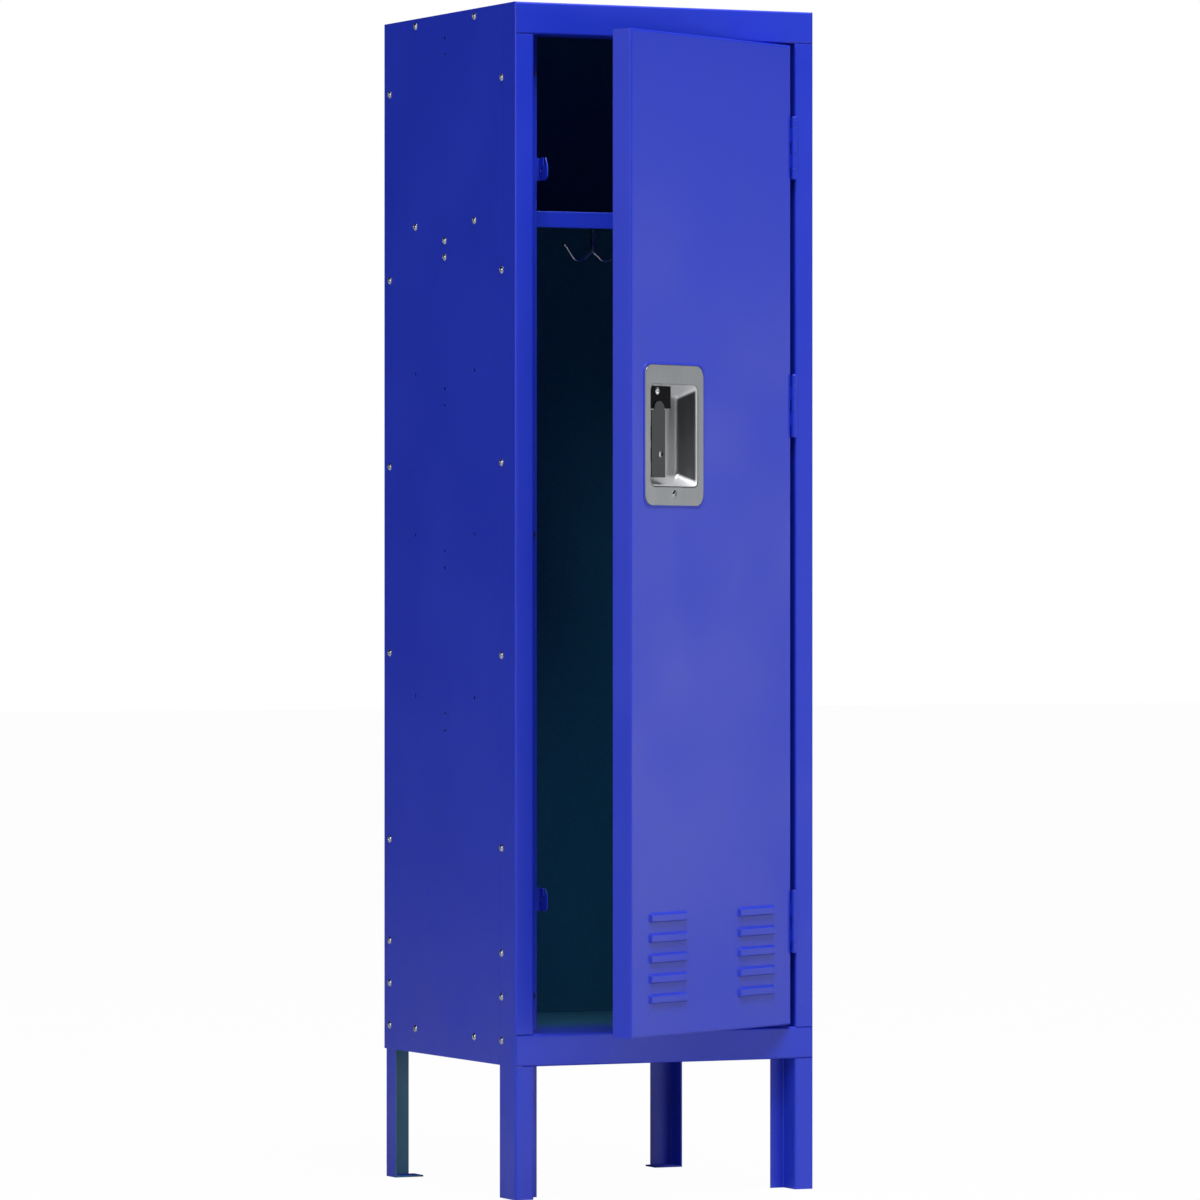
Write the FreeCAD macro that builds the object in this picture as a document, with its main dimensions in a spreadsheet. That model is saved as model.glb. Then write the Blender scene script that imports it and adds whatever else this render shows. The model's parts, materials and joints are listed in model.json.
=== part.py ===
import FreeCAD, Part
import math
import os
from FreeCAD import Placement, Rotation, Vector
import Sketcher

# A single-tier steel locker on legs, with one door hung on the right.
#
# The row frame has its origin on the floor, at the middle of the four anchor holes.
# The front faces -Y, +X is to the right and +Z is up. Every place below is measured
# from the left outer face (x), the front face (y) and the floor (z), and the helpers
# move it into the row frame. The door and what it carries are drawn closed, then
# turned about the hinge pins to the angle that the door rests at.

doc = FreeCAD.newDocument("school_locker")
sheet = doc.addObject("Spreadsheet::Sheet", "dims")


# ---------------------------------------------------------------- sizes
class Size:
    """A length that keeps its value together with the sheet expression behind it."""

    def __init__(self, text, value):
        self.text = text
        self.value = value

    def _join(self, other, sign, swap=False):
        other = as_size(other)
        first, second = (other, self) if swap else (self, other)
        values = {"+": lambda a, b: a + b, "-": lambda a, b: a - b,
                  "*": lambda a, b: a * b, "/": lambda a, b: a / b}
        return Size(f"({first.text} {sign} {second.text})",
                    values[sign](first.value, second.value))

    def __add__(self, other):
        return self._join(other, "+")

    def __radd__(self, other):
        return self._join(other, "+", swap=True)

    def __sub__(self, other):
        return self._join(other, "-")

    def __rsub__(self, other):
        return self._join(other, "-", swap=True)

    def __mul__(self, other):
        return self._join(other, "*")

    def __rmul__(self, other):
        return self._join(other, "*", swap=True)

    def __truediv__(self, other):
        return self._join(other, "/")


def as_size(number):
    return number if isinstance(number, Size) else Size(f"({number})", number)


def cell(alias, value, note):
    """Write one driving dimension into the next row of the sheet."""
    cell.row += 1
    sheet.set(f"A{cell.row}", note)
    sheet.set(f"B{cell.row}", str(value))
    sheet.setAlias(f"B{cell.row}", alias)
    return Size(f"dims.{alias}", float(value))


cell.row = 0

# Overall
width = cell("width", 381.0, "outside width")
depth = cell("depth", 381.0, "outside depth")
body_height = cell("body_height", 1219.2, "cabinet height above the legs")
leg_height = cell("leg_height", 152.4, "clear height of the legs")

# Sheet metal
panel_sheet = cell("panel_sheet", 0.9, "thickness of panels and trays")
frame_sheet = cell("frame_sheet", 1.5, "thickness of posts, rails and legs")
door_sheet = cell("door_sheet", 1.2, "thickness of the door pan")
bend = cell("bend", 1.0, "inside radius of every bend")
seam_gap = cell("seam_gap", 0.3, "gap left where a sheet passes another")

# Posts and rails
post_face = cell("post_face", 23.5, "width of a post seen from the front")
post_overlap = cell("post_overlap", 12.0, "post's side flange behind the door stop")
stop_flange = cell("stop_flange", 17.0, "width of the door stop beside the jamb")
rail_face = cell("rail_face", 37.0, "height of a rail seen from the front")
rail_lip = cell("rail_lip", 15.0, "depth of a rail's outer lip")

# Panels and trays
back_flange = cell("back_flange", 27.0, "depth of the back panel's side flanges")
side_return = cell("side_return", 15.0, "width of a side panel's rear return")
joggle = cell("joggle", 2.0, "length of the slope between a side panel and its edge")
tray_flange = cell("tray_flange", 18.5, "height of a tray's turned-down flanges")
hat_height = cell("hat_height", 236.7, "top of the locker down to the hat shelf")
shelf_setback = cell("shelf_setback", 1.0, "posts' rear edges to the shelf's lip")

# Rear legs and feet
leg_flange = cell("leg_flange", 29.0, "flange width of the rear angle legs")
leg_rise = cell("leg_rise", 296.0, "top of the rear legs above the floor")
foot_sheet = cell("foot_sheet", 2.0, "thickness of the foot plates")
foot_width = cell("foot_width", 38.0, "reach of a rear foot plate from the side face")
anchor_radius = cell("anchor_radius", 4.0, "radius of the floor anchor holes")
anchor_in_x = cell("anchor_in_x", 14.0, "side face to an anchor hole")
anchor_in_y = cell("anchor_in_y", 22.0, "front or back face to an anchor hole")

# Side fasteners
shank_radius = cell("shank_radius", 2.0, "radius of a side screw's shank")
shank_length = cell("shank_length", 8.5, "length of a side screw under its head")
head_radius = cell("head_radius", 4.6, "radius of a domed head")
head_height = cell("head_height", 2.6, "height of a domed head")
screw_play = cell("screw_play", 0.2, "radial clearance round a side screw")
nut_radius = cell("nut_radius", 4.0, "corner radius of a hexagon nut")
nut_height = cell("nut_height", 3.0, "height of a nut")
column_edge = cell("column_edge", 5.1, "front screws to the post's side edge")
column_rear = cell("column_rear", 18.1, "rear screws to the back face")
column_top = cell("column_top", 84.4, "top face to the first column screw")
column_pitch = cell("column_pitch", 221.3, "pitch of the upper column screws")
column_foot = cell("column_foot", 50.2, "pitch of the three lowest column screws")
tray_drop = cell("tray_drop", 8.7, "top of a tray to its screws")
tray_centre = cell("tray_centre", 180.1, "middle of the tray screws to the back face")
tray_spread = cell("tray_spread", 170.8, "distance between a tray's two screws")
spare_pitch = cell("spare_pitch", 189.9, "pitch of the spare shelf positions")
spare_first = cell("spare_first", 173.2, "shelf screws to the first spare holes")
spare_radius = cell("spare_radius", 2.2, "radius of a spare hole")
pair_drop = cell("pair_drop", 19.6, "tray screws to the hook holes below them")
pair_pitch = cell("pair_pitch", 19.4, "distance between the two hook holes")

# Door
free_gap = cell("free_gap", 3.0, "gap at the door's free edge")
hinge_gap = cell("hinge_gap", 5.5, "gap at the door's hinge edge")
end_gap = cell("end_gap", 2.75, "gap above and below the door")
door_thick = cell("door_thick", 25.5, "depth of the door pan")
door_lip = cell("door_lip", 12.0, "width of the pan's inner lip")
rest_angle = cell("rest_angle", 30.0, "how far the door stands open at rest, degrees")
brace_width = cell("brace_width", 46.0, "width of the door's stiffening channel")
brace_depth = cell("brace_depth", 14.0, "depth of the stiffening channel")

# Louvres
louvre_width = cell("louvre_width", 76.0, "width of a louvre")
louvre_height = cell("louvre_height", 10.8, "height of a louvre")
louvre_rise = cell("louvre_rise", 3.0, "how far a louvre's hood stands out")
louvre_lean = cell("louvre_lean", 2.6, "how far a louvre's top and ends lean in")
louvre_corner = cell("louvre_corner", 2.5, "radius of a louvre's upper corners")
louvre_soft = cell("louvre_soft", 1.0, "radius of a louvre's front edges")
louvre_pitch = cell("louvre_pitch", 23.05, "vertical pitch of the louvres")
louvre_low = cell("louvre_low", 235.6, "middle of the lowest louvres above the floor")
louvre_out = cell("louvre_out", 90.0, "middle of the door to a column of louvres")
louvre_rows = 5

# Hinges
hinge_height = cell("hinge_height", 72.0, "height of a hinge")
barrel_radius = cell("barrel_radius", 3.4, "outer radius of the knuckles")
pin_radius = cell("pin_radius", 1.5, "radius of a hinge pin")
pin_play = cell("pin_play", 0.05, "radial clearance of a pin in its knuckles")
pin_cap = cell("pin_cap", 1.0, "height of a pin's rounded end")
barrel_out = cell("barrel_out", 2.5, "pin axis in front of the front face")
leaf_sheet = cell("leaf_sheet", 1.2, "thickness of a hinge leaf")
leaf_depth = cell("leaf_depth", 22.0, "how far back a leaf reaches")
end_knuckle = cell("end_knuckle", 12.2, "height of the first and last knuckle")
door_knuckle = cell("door_knuckle", 17.0, "height of a door knuckle")
knuckle_gap = cell("knuckle_gap", 0.3, "gap between two knuckles")
hinge_drop = cell("hinge_drop", 159.1, "top of the locker to the upper hinge's middle")
hinge_mid = cell("hinge_mid", 912.4, "middle of the middle hinge above the floor")
hinge_low = cell("hinge_low", 312.1, "middle of the lower hinge above the floor")

# Handle cup, measured from the door's free edge
plate_in = cell("plate_in", 26.0, "free edge to the handle plate")
plate_width = cell("plate_width", 117.4, "width of the handle plate")
plate_low = cell("plate_low", 794.0, "bottom of the handle plate above the floor")
plate_height = cell("plate_height", 160.0, "height of the handle plate")
plate_corner = cell("plate_corner", 14.0, "corner radius of the handle plate")
cup_sheet = cell("cup_sheet", 1.0, "thickness of the handle's steel")
pocket_in = cell("pocket_in", 37.9, "free edge to the pocket")
pocket_width = cell("pocket_width", 93.4, "width of the pocket's mouth")
pocket_low = cell("pocket_low", 816.0, "bottom of the pocket's mouth above the floor")
pocket_height = cell("pocket_height", 115.6, "height of the pocket's mouth")
pocket_depth = cell("pocket_depth", 25.0, "depth of the pocket behind the door's face")
pocket_corner = cell("pocket_corner", 8.0, "corner radius of the pocket")
pocket_floor_bend = cell("pocket_floor_bend", 5.0, "inside radius round the pocket's floor")
rim_roll = cell("rim_roll", 2.0, "radius of the pocket's rolled rim")
plate_edge = cell("plate_edge", 0.6, "radius of the handle plate's outer edge")
draft_side = cell("draft_side", 5.5, "how far the pocket's sides close in")
draft_end = cell("draft_end", 11.0, "how far the pocket's ends close in")
plate_screw_drop = cell("plate_screw_drop", 9.0, "pocket to the plate screw below it")

# Latch block, lift lever and padlock staple
block_width = cell("block_width", 45.0, "latch block's reach from the pocket's side")
block_low = cell("block_low", 904.5, "bottom of the latch block above the floor")
block_front = cell("block_front", 3.0, "front of the latch block behind the face")
block_rivet_in = cell("block_rivet_in", 56.0, "free edge to the latch block's rivet")
block_rivet_length = cell("block_rivet_length", 5.0, "length of the latch block's rivet")
block_rivet = cell("block_rivet", 924.0, "latch block's rivet above the floor")
lever_sheet = cell("lever_sheet", 1.5, "thickness of the lift lever")
lever_front = cell("lever_front", 0.5, "front of the lift lever behind the face")
lever_left = cell("lever_left", 41.5, "free edge to the lift lever")
lever_right = cell("lever_right", 68.0, "free edge to the lift lever's right side")
lever_low = cell("lever_low", 826.0, "bottom of the lift lever above the floor")
lever_top = cell("lever_top", 912.5, "top of the lift lever above the floor")
lever_round = cell("lever_round", 9.8, "radius of the lever's rounded top")
lever_lip = cell("lever_lip", 8.0, "depth of the lift lever's lower lip")
lever_shoulder = cell("lever_shoulder", 2.5, "lever's left edge to its side flange")
arm_low = cell("arm_low", 868.0, "bottom of the lever's arm above the floor")
arm_height = cell("arm_height", 16.0, "height of the lever's arm")
arm_back = cell("arm_back", 13.5, "back of the lever's arm behind the face")
eye_radius = cell("eye_radius", 4.0, "radius of the padlock eye")
eye_height = cell("eye_height", 852.0, "padlock eye above the floor")
eye_in = cell("eye_in", 8.0, "lever's right side to the padlock eye")
staple_sheet = cell("staple_sheet", 1.5, "thickness of the padlock staple")
staple_gap = cell("staple_gap", 0.5, "gap between the lever and the staple")

# Lock bar and frame hooks
bar_sheet = cell("bar_sheet", 2.0, "thickness of the lock bar")
bar_left = cell("bar_left", 24.5, "free edge to the lock bar")
bar_front = cell("bar_front", 8.0, "front of the lock bar behind the face")
bar_depth = cell("bar_depth", 14.0, "depth of the lock bar")
tab_rivet_in = cell("tab_rivet_in", 3.5, "rear edge of the lock bar to the lever's rivets")
bar_over = cell("bar_over", 22.0, "lock bar beyond its pins")
lift = cell("lift", 10.0, "travel of the lock bar")
catch_radius = cell("catch_radius", 2.5, "radius of a lock bar pin")
catch_reach = cell("catch_reach", 9.5, "length of a lock bar pin beside the bar")
rivet_radius = cell("rivet_radius", 1.6, "radius of a small rivet's shank")
rivet_play = cell("rivet_play", 0.05, "radial clearance round a rivet's shank")
rivet_head = cell("rivet_head", 3.2, "radius of a small rivet's head")
rivet_rise = cell("rivet_rise", 1.2, "height of a small rivet's head")
hook_drop = cell("hook_drop", 189.6, "top of the locker to the upper frame hook's middle")
hook_low = cell("hook_low", 342.5, "middle of the lower frame hook above the floor")
hook_height = cell("hook_height", 26.0, "height of a frame hook")
hook_side = cell("hook_side", 44.0, "side face to a frame hook's fin")
hook_front = cell("hook_front", 9.5, "front of a frame hook behind the face")
hook_nose = cell("hook_nose", 5.0, "front of a frame hook to its notch")
hook_eye = cell("hook_eye", 3.0, "radius of the hole in a frame hook's fin")
hook_rivet_in = cell("hook_rivet_in", 7.0, "edge of the door stop to a frame hook's rivets")
hook_rivet_out = cell("hook_rivet_out", 7.8, "middle of a frame hook to its rivets")
notch_depth = cell("notch_depth", 8.0, "depth of a frame hook's notch")
notch_width = cell("notch_width", 6.0, "width of a frame hook's notch")
catch_play = cell("catch_play", 0.4, "gap under a lock bar pin in its notch")
guide_height = cell("guide_height", 20.0, "height of a lock bar guide")
guide_wall = cell("guide_wall", 3.0, "wall of a lock bar guide")
guide_play = cell("guide_play", 0.4, "gap round the lock bar in its guides")

# Door stops
bumper_radius = cell("bumper_radius", 5.0, "radius of a rubber bumper")
bumper_height = cell("bumper_height", 4.0, "height of a rubber bumper")
bumper_in = cell("bumper_in", 40.0, "end of the door to an end bumper")
bumper_play = cell("bumper_play", 0.5, "gap between a bumper and the closed door")

# Coat hooks
wire_radius = cell("wire_radius", 2.4, "radius of a coat hook's wire")
hook_bowl = cell("hook_bowl", 10.0, "radius of a coat hook's bowl")
stem_length = cell("stem_length", 36.0, "shelf to the root of the ceiling hook")
prong_rise = cell("prong_rise", 13.0, "rise of a ceiling hook's prong")
prong_span = cell("prong_span", 17.0, "ceiling hook's stem to the middle of a bowl")
prong_lean = cell("prong_lean", 9.0, "how far a ceiling hook's prong leans out")
bowl_drop = cell("bowl_drop", 5.5, "ends of a ceiling hook's bowl to its bottom")
ball_radius = cell("ball_radius", 3.6, "radius of the ball on a prong's tip")
root_radius = cell("root_radius", 2.9, "radius of the weld at the ceiling hook's root")
collar_radius = cell("collar_radius", 10.0, "radius of the ceiling hook's collar")
collar_height = cell("collar_height", 1.5, "height of the ceiling hook's collar")
stud_length = cell("stud_length", 8.0, "length of the ceiling hook's threaded stud")
side_plate_sheet = cell("side_plate_sheet", 2.0, "thickness of a side hook's plate")
side_plate_width = cell("side_plate_width", 12.0, "width of a side hook's plate")
side_plate_over = cell("side_plate_over", 7.0, "side hook's plate beyond its screws")
side_prong_run = cell("side_prong_run", 7.0, "run of a side prong's slope and half bowl")
side_prong_dip = cell("side_prong_dip", 5.0, "depth of a side prong's bowl")
side_prong_lean = cell("side_prong_lean", 3.0, "how far a side prong's tip leans out")
side_prong_rise = cell("side_prong_rise", 11.0, "height of a side prong's tip above its bowl")

# Heights and depths that several pieces share
total_height = leg_height + body_height
shelf_top = total_height - hat_height
hinge_high = total_height - hinge_drop
hook_high = total_height - hook_drop
stop_front = door_thick + bumper_play + bumper_height
stop_depth = stop_front + frame_sheet
post_side = stop_depth + post_overlap
lap_front = stop_depth + seam_gap
lap_end = post_side + seam_gap + joggle
shelf_front = post_side + shelf_setback
doc.recompute()


# ---------------------------------------------------------------- helpers
def bind(obj, **sizes):
    """Bind properties to the sheet; a double underscore stands for a dot."""
    for name, size in sizes.items():
        obj.setExpression(name.replace("__", "."), as_size(size).text)


def seat(obj, x, y, z):
    """Place an object from the left face, the front face and the floor."""
    bind(obj, Placement__Base__x=x - width / 2, Placement__Base__y=y - depth / 2,
         Placement__Base__z=z)
    return obj


def box(name, x, y, z, dx, dy, dz):
    obj = doc.addObject("Part::Box", name)
    bind(obj, Length=dx, Width=dy, Height=dz)
    return seat(obj, x, y, z)


TURNS = {"+X": Rotation(Vector(0, 1, 0), 90), "-X": Rotation(Vector(0, 1, 0), -90),
         "+Y": Rotation(Vector(1, 0, 0), -90), "-Y": Rotation(Vector(1, 0, 0), 90),
         "+Z": Rotation(), "-Z": Rotation(Vector(1, 0, 0), 180)}


def rod(name, x, y, z, radius, length, along):
    obj = doc.addObject("Part::Cylinder", name)
    obj.Placement = Placement(Vector(), TURNS[along])
    bind(obj, Radius=radius, Height=length)
    return seat(obj, x, y, z)


def dome(name, x, y, z, radius, height, along):
    """A spherical cap that stands on its base and bulges along one direction."""
    obj = doc.addObject("Part::Sphere", name)
    obj.Placement = Placement(Vector(), TURNS[along])
    ball = (radius * radius + height * height) / (2 * height)
    sink = ball - height
    bind(obj, Radius=ball)
    obj.setExpression("Angle1", f"asin({(sink / ball).text})")
    step = {"X": (1, 0, 0), "Y": (0, 1, 0), "Z": (0, 0, 1)}[along[1]]
    sign = -1 if along[0] == "+" else 1
    return seat(obj, x + sign * step[0] * sink, y + sign * step[1] * sink,
                z + sign * step[2] * sink)


def fuse(name, pieces):
    obj = doc.addObject("Part::MultiFuse", name)
    obj.Shapes = pieces
    return obj


def group(name, pieces):
    obj = doc.addObject("Part::Compound", name)
    obj.Links = pieces
    return obj


def cut(name, base, *tools):
    """Take tools off a base, one after the other."""
    for count, tool in enumerate(tools, 1):
        obj = doc.addObject("Part::Cut", name if count == len(tools) else f"{name}_step")
        obj.Base = base
        obj.Tool = tool
        base = obj
    return base


def mirror(name, source):
    """The right-hand twin of a left-hand piece."""
    obj = doc.addObject("Part::Mirroring", name)
    obj.Source = source
    obj.Normal = Vector(1, 0, 0)
    return obj


def rounded(name, base, radius, chosen):
    """Round the edges of a base that a test on their middle and direction picks."""
    doc.recompute()
    obj = doc.addObject("Part::Fillet", name)
    obj.Base = base
    picks = []
    for number, edge in enumerate(base.Shape.Edges, 1):
        way = edge.tangentAt(edge.FirstParameter)
        if chosen(edge.CenterOfMass, way):
            picks.append((number, radius.value, radius.value))
    obj.Edges = picks
    return obj


def near(value, size):
    return abs(value - as_size(size).value) < 0.01


def section(name, plane, points, start, length, rounds=()):
    """Pad an outline. plane XY pads up from z = start, and YZ pads right from x = start.

    The outline's points are (x, y) or (y, z), from the left face, the front face and
    the floor. rounds are (point number, radius) pairs.
    """
    body = doc.addObject("PartDesign::Body", name)
    sketch = body.newObject("Sketcher::SketchObject", f"{name}_outline")
    role = f"{plane}_Plane"
    support = [p for p in body.Origin.OriginFeatures if p.Role == role][0]
    sketch.AttachmentSupport = (support, [""])
    sketch.MapMode = "FlatFace"
    if plane == "XY":
        bind(sketch, AttachmentOffset__Base__x=0 - width / 2,
             AttachmentOffset__Base__y=0 - depth / 2, AttachmentOffset__Base__z=start)
    else:
        bind(sketch, AttachmentOffset__Base__x=0 - depth / 2,
             AttachmentOffset__Base__z=start - width / 2)
    points = [(as_size(a), as_size(b)) for a, b in points]
    count = len(points)
    for here in range(count):
        a, b = points[here], points[(here + 1) % count]
        sketch.addGeometry(Part.LineSegment(Vector(a[0].value, a[1].value, 0),
                                            Vector(b[0].value, b[1].value, 0)), False)
    for here in range(count):
        sketch.addConstraint(Sketcher.Constraint("Coincident", here, 2, (here + 1) % count, 1))
    for here, point in enumerate(points):
        for kind, size in zip(("DistanceX", "DistanceY"), point):
            row = sketch.addConstraint(
                Sketcher.Constraint(kind, -1, 1, here, 1, size.value))
            sketch.setExpression(f"Constraints[{row}]", size.text)
    pad = body.newObject("PartDesign::Pad", f"{name}_pad")
    pad.Profile = sketch
    bind(pad, Length=length)
    pad_axis = Vector(0, 0, 1) if plane == "XY" else Vector(1, 0, 0)
    for step, (number, radius) in enumerate(rounds):
        doc.recompute()
        a, b = points[number]
        if plane == "XY":
            spot = Vector(a.value - width.value / 2, b.value - depth.value / 2, 0)
        else:
            spot = Vector(0, a.value - depth.value / 2, b.value)
        names = []
        solid = body.Tip
        for index, edge in enumerate(solid.Shape.Edges, 1):
            middle = edge.CenterOfMass - spot
            across = middle - pad_axis * middle.dot(pad_axis)
            along = abs(edge.tangentAt(edge.FirstParameter).dot(pad_axis))
            if across.Length < 0.01 and along > 0.999:
                names.append(f"Edge{index}")
        fillet = body.newObject("PartDesign::Fillet", f"{name}_bend_{step}")
        fillet.Base = (solid, names)
        bind(fillet, Radius=radius)
    return body


nodes = []


def keep(label, obj, placement=None):
    """Name a finished sub-part and, if it rides on the door, turn it to its rest."""
    obj.Label = label
    if placement is not None:
        obj.Placement = placement
    nodes.append(obj)
    return obj


# ---------------------------------------------------------------- fastener places
front_column = post_side - column_edge
rear_column = depth - column_rear
tray_front_hole = depth - tray_centre - tray_spread / 2
tray_rear_hole = depth - tray_centre + tray_spread / 2
pair_y = depth - tray_centre
floor_top = leg_height + rail_face
floor_screw = floor_top - tray_drop
shelf_screw = shelf_top - tray_drop
top_screw = total_height - tray_drop

column_heights = [total_height - column_top - n * column_pitch for n in range(5)]
column_heights += [floor_screw + n * column_foot for n in range(3)]
hook_screws = [(pair_y, shelf_screw - pair_drop),
               (pair_y, shelf_screw - pair_drop - pair_pitch)]
side_screws = [(y, z) for y in (front_column, rear_column) for z in column_heights]
side_screws += [(y, z) for y in (tray_front_hole, tray_rear_hole)
                for z in (top_screw, shelf_screw, floor_screw)]
side_screws += hook_screws

spare_levels = [shelf_screw - spare_first - n * spare_pitch for n in range(3)]
spare_holes = [(y, z) for y in (tray_front_hole, tray_rear_hole) for z in spare_levels]
for level in [top_screw] + spare_levels:
    spare_holes += [(pair_y, level - pair_drop), (pair_y, level - pair_drop - pair_pitch)]

overrun = 5.0
drill_reach = 12.0


def side_holes(name, spots, radius):
    """Short holes through the left and the right side at the same heights."""
    holes = []
    for n, (y, z) in enumerate(spots):
        for hand, x in (("left", 0 - as_size(overrun)), ("right", width - drill_reach)):
            holes.append(rod(f"{name}_{hand}_{n}", x, y, z, radius,
                             as_size(overrun + drill_reach), "+X"))
    return group(name, holes)


side_drill = side_holes("side_drill", side_screws, shank_radius + screw_play)
spare_drill = side_holes("spare_drill", spare_holes, spare_radius)


# ---------------------------------------------------------------- posts and rails
stop_edge = post_face + stop_flange
outer_bend = bend + frame_sheet

post = section("post_profile", "XY", [
    (0, 0), (post_face, 0), (post_face, stop_front), (stop_edge, stop_front),
    (stop_edge, stop_depth), (post_face - frame_sheet, stop_depth),
    (post_face - frame_sheet, frame_sheet), (frame_sheet, frame_sheet),
    (frame_sheet, post_side), (0, post_side)],
    as_size(0), total_height,
    [(0, outer_bend), (1, outer_bend), (2, bend), (5, outer_bend), (6, bend), (7, bend)])
rail_seats = [box(f"rail_seat_{n}", frame_sheet, 0 - overrun, z, stop_edge + overrun,
                  stop_depth + 2 * overrun, rail_face)
              for n, z in enumerate((leg_height, total_height - rail_face))]
post = cut("post_drilled", post, group("rail_seats", rail_seats), side_drill)

hook_back = stop_depth + frame_sheet
hook_rivet_x = stop_edge - hook_rivet_in
hook_rivets = [z + side * hook_rivet_out for z in (hook_high, hook_low)
               for side in (-1, 1)]
hook_rivet_drill = group("hook_rivet_drill", [
    rod(f"hook_rivet_hole_{n}", hook_rivet_x, stop_front - overrun, z,
        rivet_radius + rivet_play, frame_sheet * 2 + 2 * overrun, "+Y")
    for n, z in enumerate(hook_rivets)])
keep("front_left_post", cut("left_post", post, hook_rivet_drill))
keep("front_right_post", mirror("right_post", post))


def rail(label, low, high, inner_is_top):
    """A channel rail: a face, a deep inner return and a short outer lip."""
    if inner_is_top:
        points = [(0, low), (rail_lip, low), (rail_lip, low + frame_sheet),
                  (frame_sheet, low + frame_sheet), (frame_sheet, high - frame_sheet),
                  (stop_depth, high - frame_sheet), (stop_depth, high), (0, high)]
        bends = [(0, outer_bend), (3, bend), (4, bend), (7, outer_bend)]
    else:
        points = [(0, low), (stop_depth, low), (stop_depth, low + frame_sheet),
                  (frame_sheet, low + frame_sheet), (frame_sheet, high - frame_sheet),
                  (rail_lip, high - frame_sheet), (rail_lip, high), (0, high)]
        bends = [(0, outer_bend), (3, bend), (4, bend), (7, outer_bend)]
    keep(label, section(label, "YZ", points, frame_sheet, width - 2 * frame_sheet, bends))


rail("bottom_front_rail", leg_height, leg_height + rail_face, True)
rail("top_front_rail", total_height - rail_face, total_height, False)


# ---------------------------------------------------------------- side and back panels
lap_x = frame_sheet
side_panel = section("side_panel", "XY", [
    (0, post_side + seam_gap), (0, depth), (side_return, depth),
    (side_return, depth - panel_sheet), (panel_sheet, depth - panel_sheet),
    (panel_sheet, lap_end), (lap_x + panel_sheet, post_side + seam_gap),
    (lap_x + panel_sheet, lap_front), (lap_x, lap_front),
    (lap_x, post_side + seam_gap)],
    leg_height, body_height,
    [(1, bend + panel_sheet), (4, bend)])
side_panel = keep("left_side_panel",
                  cut("side_panel_drilled", side_panel, side_drill, spare_drill))
keep("right_side_panel", mirror("right_panel", side_panel))

back_outer = depth - panel_sheet
back_inner = back_outer - panel_sheet
back_side = panel_sheet
back_panel = section("back_profile", "XY", [
    (back_side, back_outer), (back_side, depth - back_flange),
    (back_side + panel_sheet, depth - back_flange), (back_side + panel_sheet, back_inner),
    (width - back_side - panel_sheet, back_inner),
    (width - back_side - panel_sheet, depth - back_flange),
    (width - back_side, depth - back_flange), (width - back_side, back_outer)],
    leg_height + seam_gap, body_height - seam_gap,
    [(0, bend + panel_sheet), (3, bend), (4, bend), (7, bend + panel_sheet)])
keep("back_panel", cut("back_drilled", back_panel, side_drill))


# ---------------------------------------------------------------- trays
leg_inside = back_side + panel_sheet + frame_sheet


def tray(label, top, front, rear, front_notch, rear_notch):
    """The solid of a tray with four flanges turned down, notched at its corners."""
    side = panel_sheet
    shell = box(f"{label}_shell", side, front, top - tray_flange,
                width - 2 * side, rear - front, tray_flange)
    hollow = box(f"{label}_hollow", side + panel_sheet, front + panel_sheet,
                 top - tray_flange - overrun, width - 2 * side - 2 * panel_sheet,
                 rear - front - 2 * panel_sheet, tray_flange - panel_sheet + overrun)
    shell = rounded(f"{label}_folded", shell, panel_sheet,
                    lambda spot, way: abs(way.x) > 0.9 and near(spot.z, top)
                    and near(spot.y, front - depth / 2))
    notches = []
    for end, (reach_x, reach_y) in (("front", front_notch), ("rear", rear_notch)):
        start = front - overrun if end == "front" else rear - reach_y
        for hand, x in (("left", side - overrun), ("right", width - side - reach_x)):
            notches.append(box(f"{label}_{end}_{hand}_notch", x, start,
                               top - tray_flange - overrun, reach_x + overrun,
                               reach_y + overrun, tray_flange + 2 * overrun))
    return cut(f"{label}_tray", shell, hollow, group(f"{label}_notches", notches), side_drill)


lap_clear = lap_x + seam_gap
leg_clear = leg_inside - panel_sheet + seam_gap
flange_clear = panel_sheet + seam_gap
tray_rear = back_inner - seam_gap
leg_front = back_inner - leg_flange
past_flange = (flange_clear, tray_rear - depth + back_flange + seam_gap)
keep("bottom_panel", tray(
    "bottom_panel", floor_top, stop_depth + seam_gap, tray_rear - frame_sheet,
    (lap_clear, lap_end - stop_depth),
    (leg_clear, tray_rear - frame_sheet - leg_front + seam_gap)))
shelf = tray("hat_shelf", shelf_top, shelf_front, tray_rear,
             (lap_clear, lap_end - shelf_front + seam_gap), past_flange)
keep("top_panel", tray("top_panel", total_height, rail_lip + seam_gap, tray_rear,
                       (lap_clear, lap_end - rail_lip), past_flange))


# ---------------------------------------------------------------- rear legs and feet
leg_x = back_side + panel_sheet
leg = section("leg_profile", "XY", [
    (leg_x, back_inner), (leg_x, leg_front), (leg_x + frame_sheet, leg_front),
    (leg_x + frame_sheet, back_inner - frame_sheet),
    (leg_x + leg_flange, back_inner - frame_sheet), (leg_x + leg_flange, back_inner)],
    as_size(0), leg_rise, [(0, outer_bend), (3, bend)])
leg = keep("rear_left_leg", cut("rear_leg_drilled", leg, side_drill))
keep("rear_right_leg", mirror("right_leg", leg))


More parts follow.
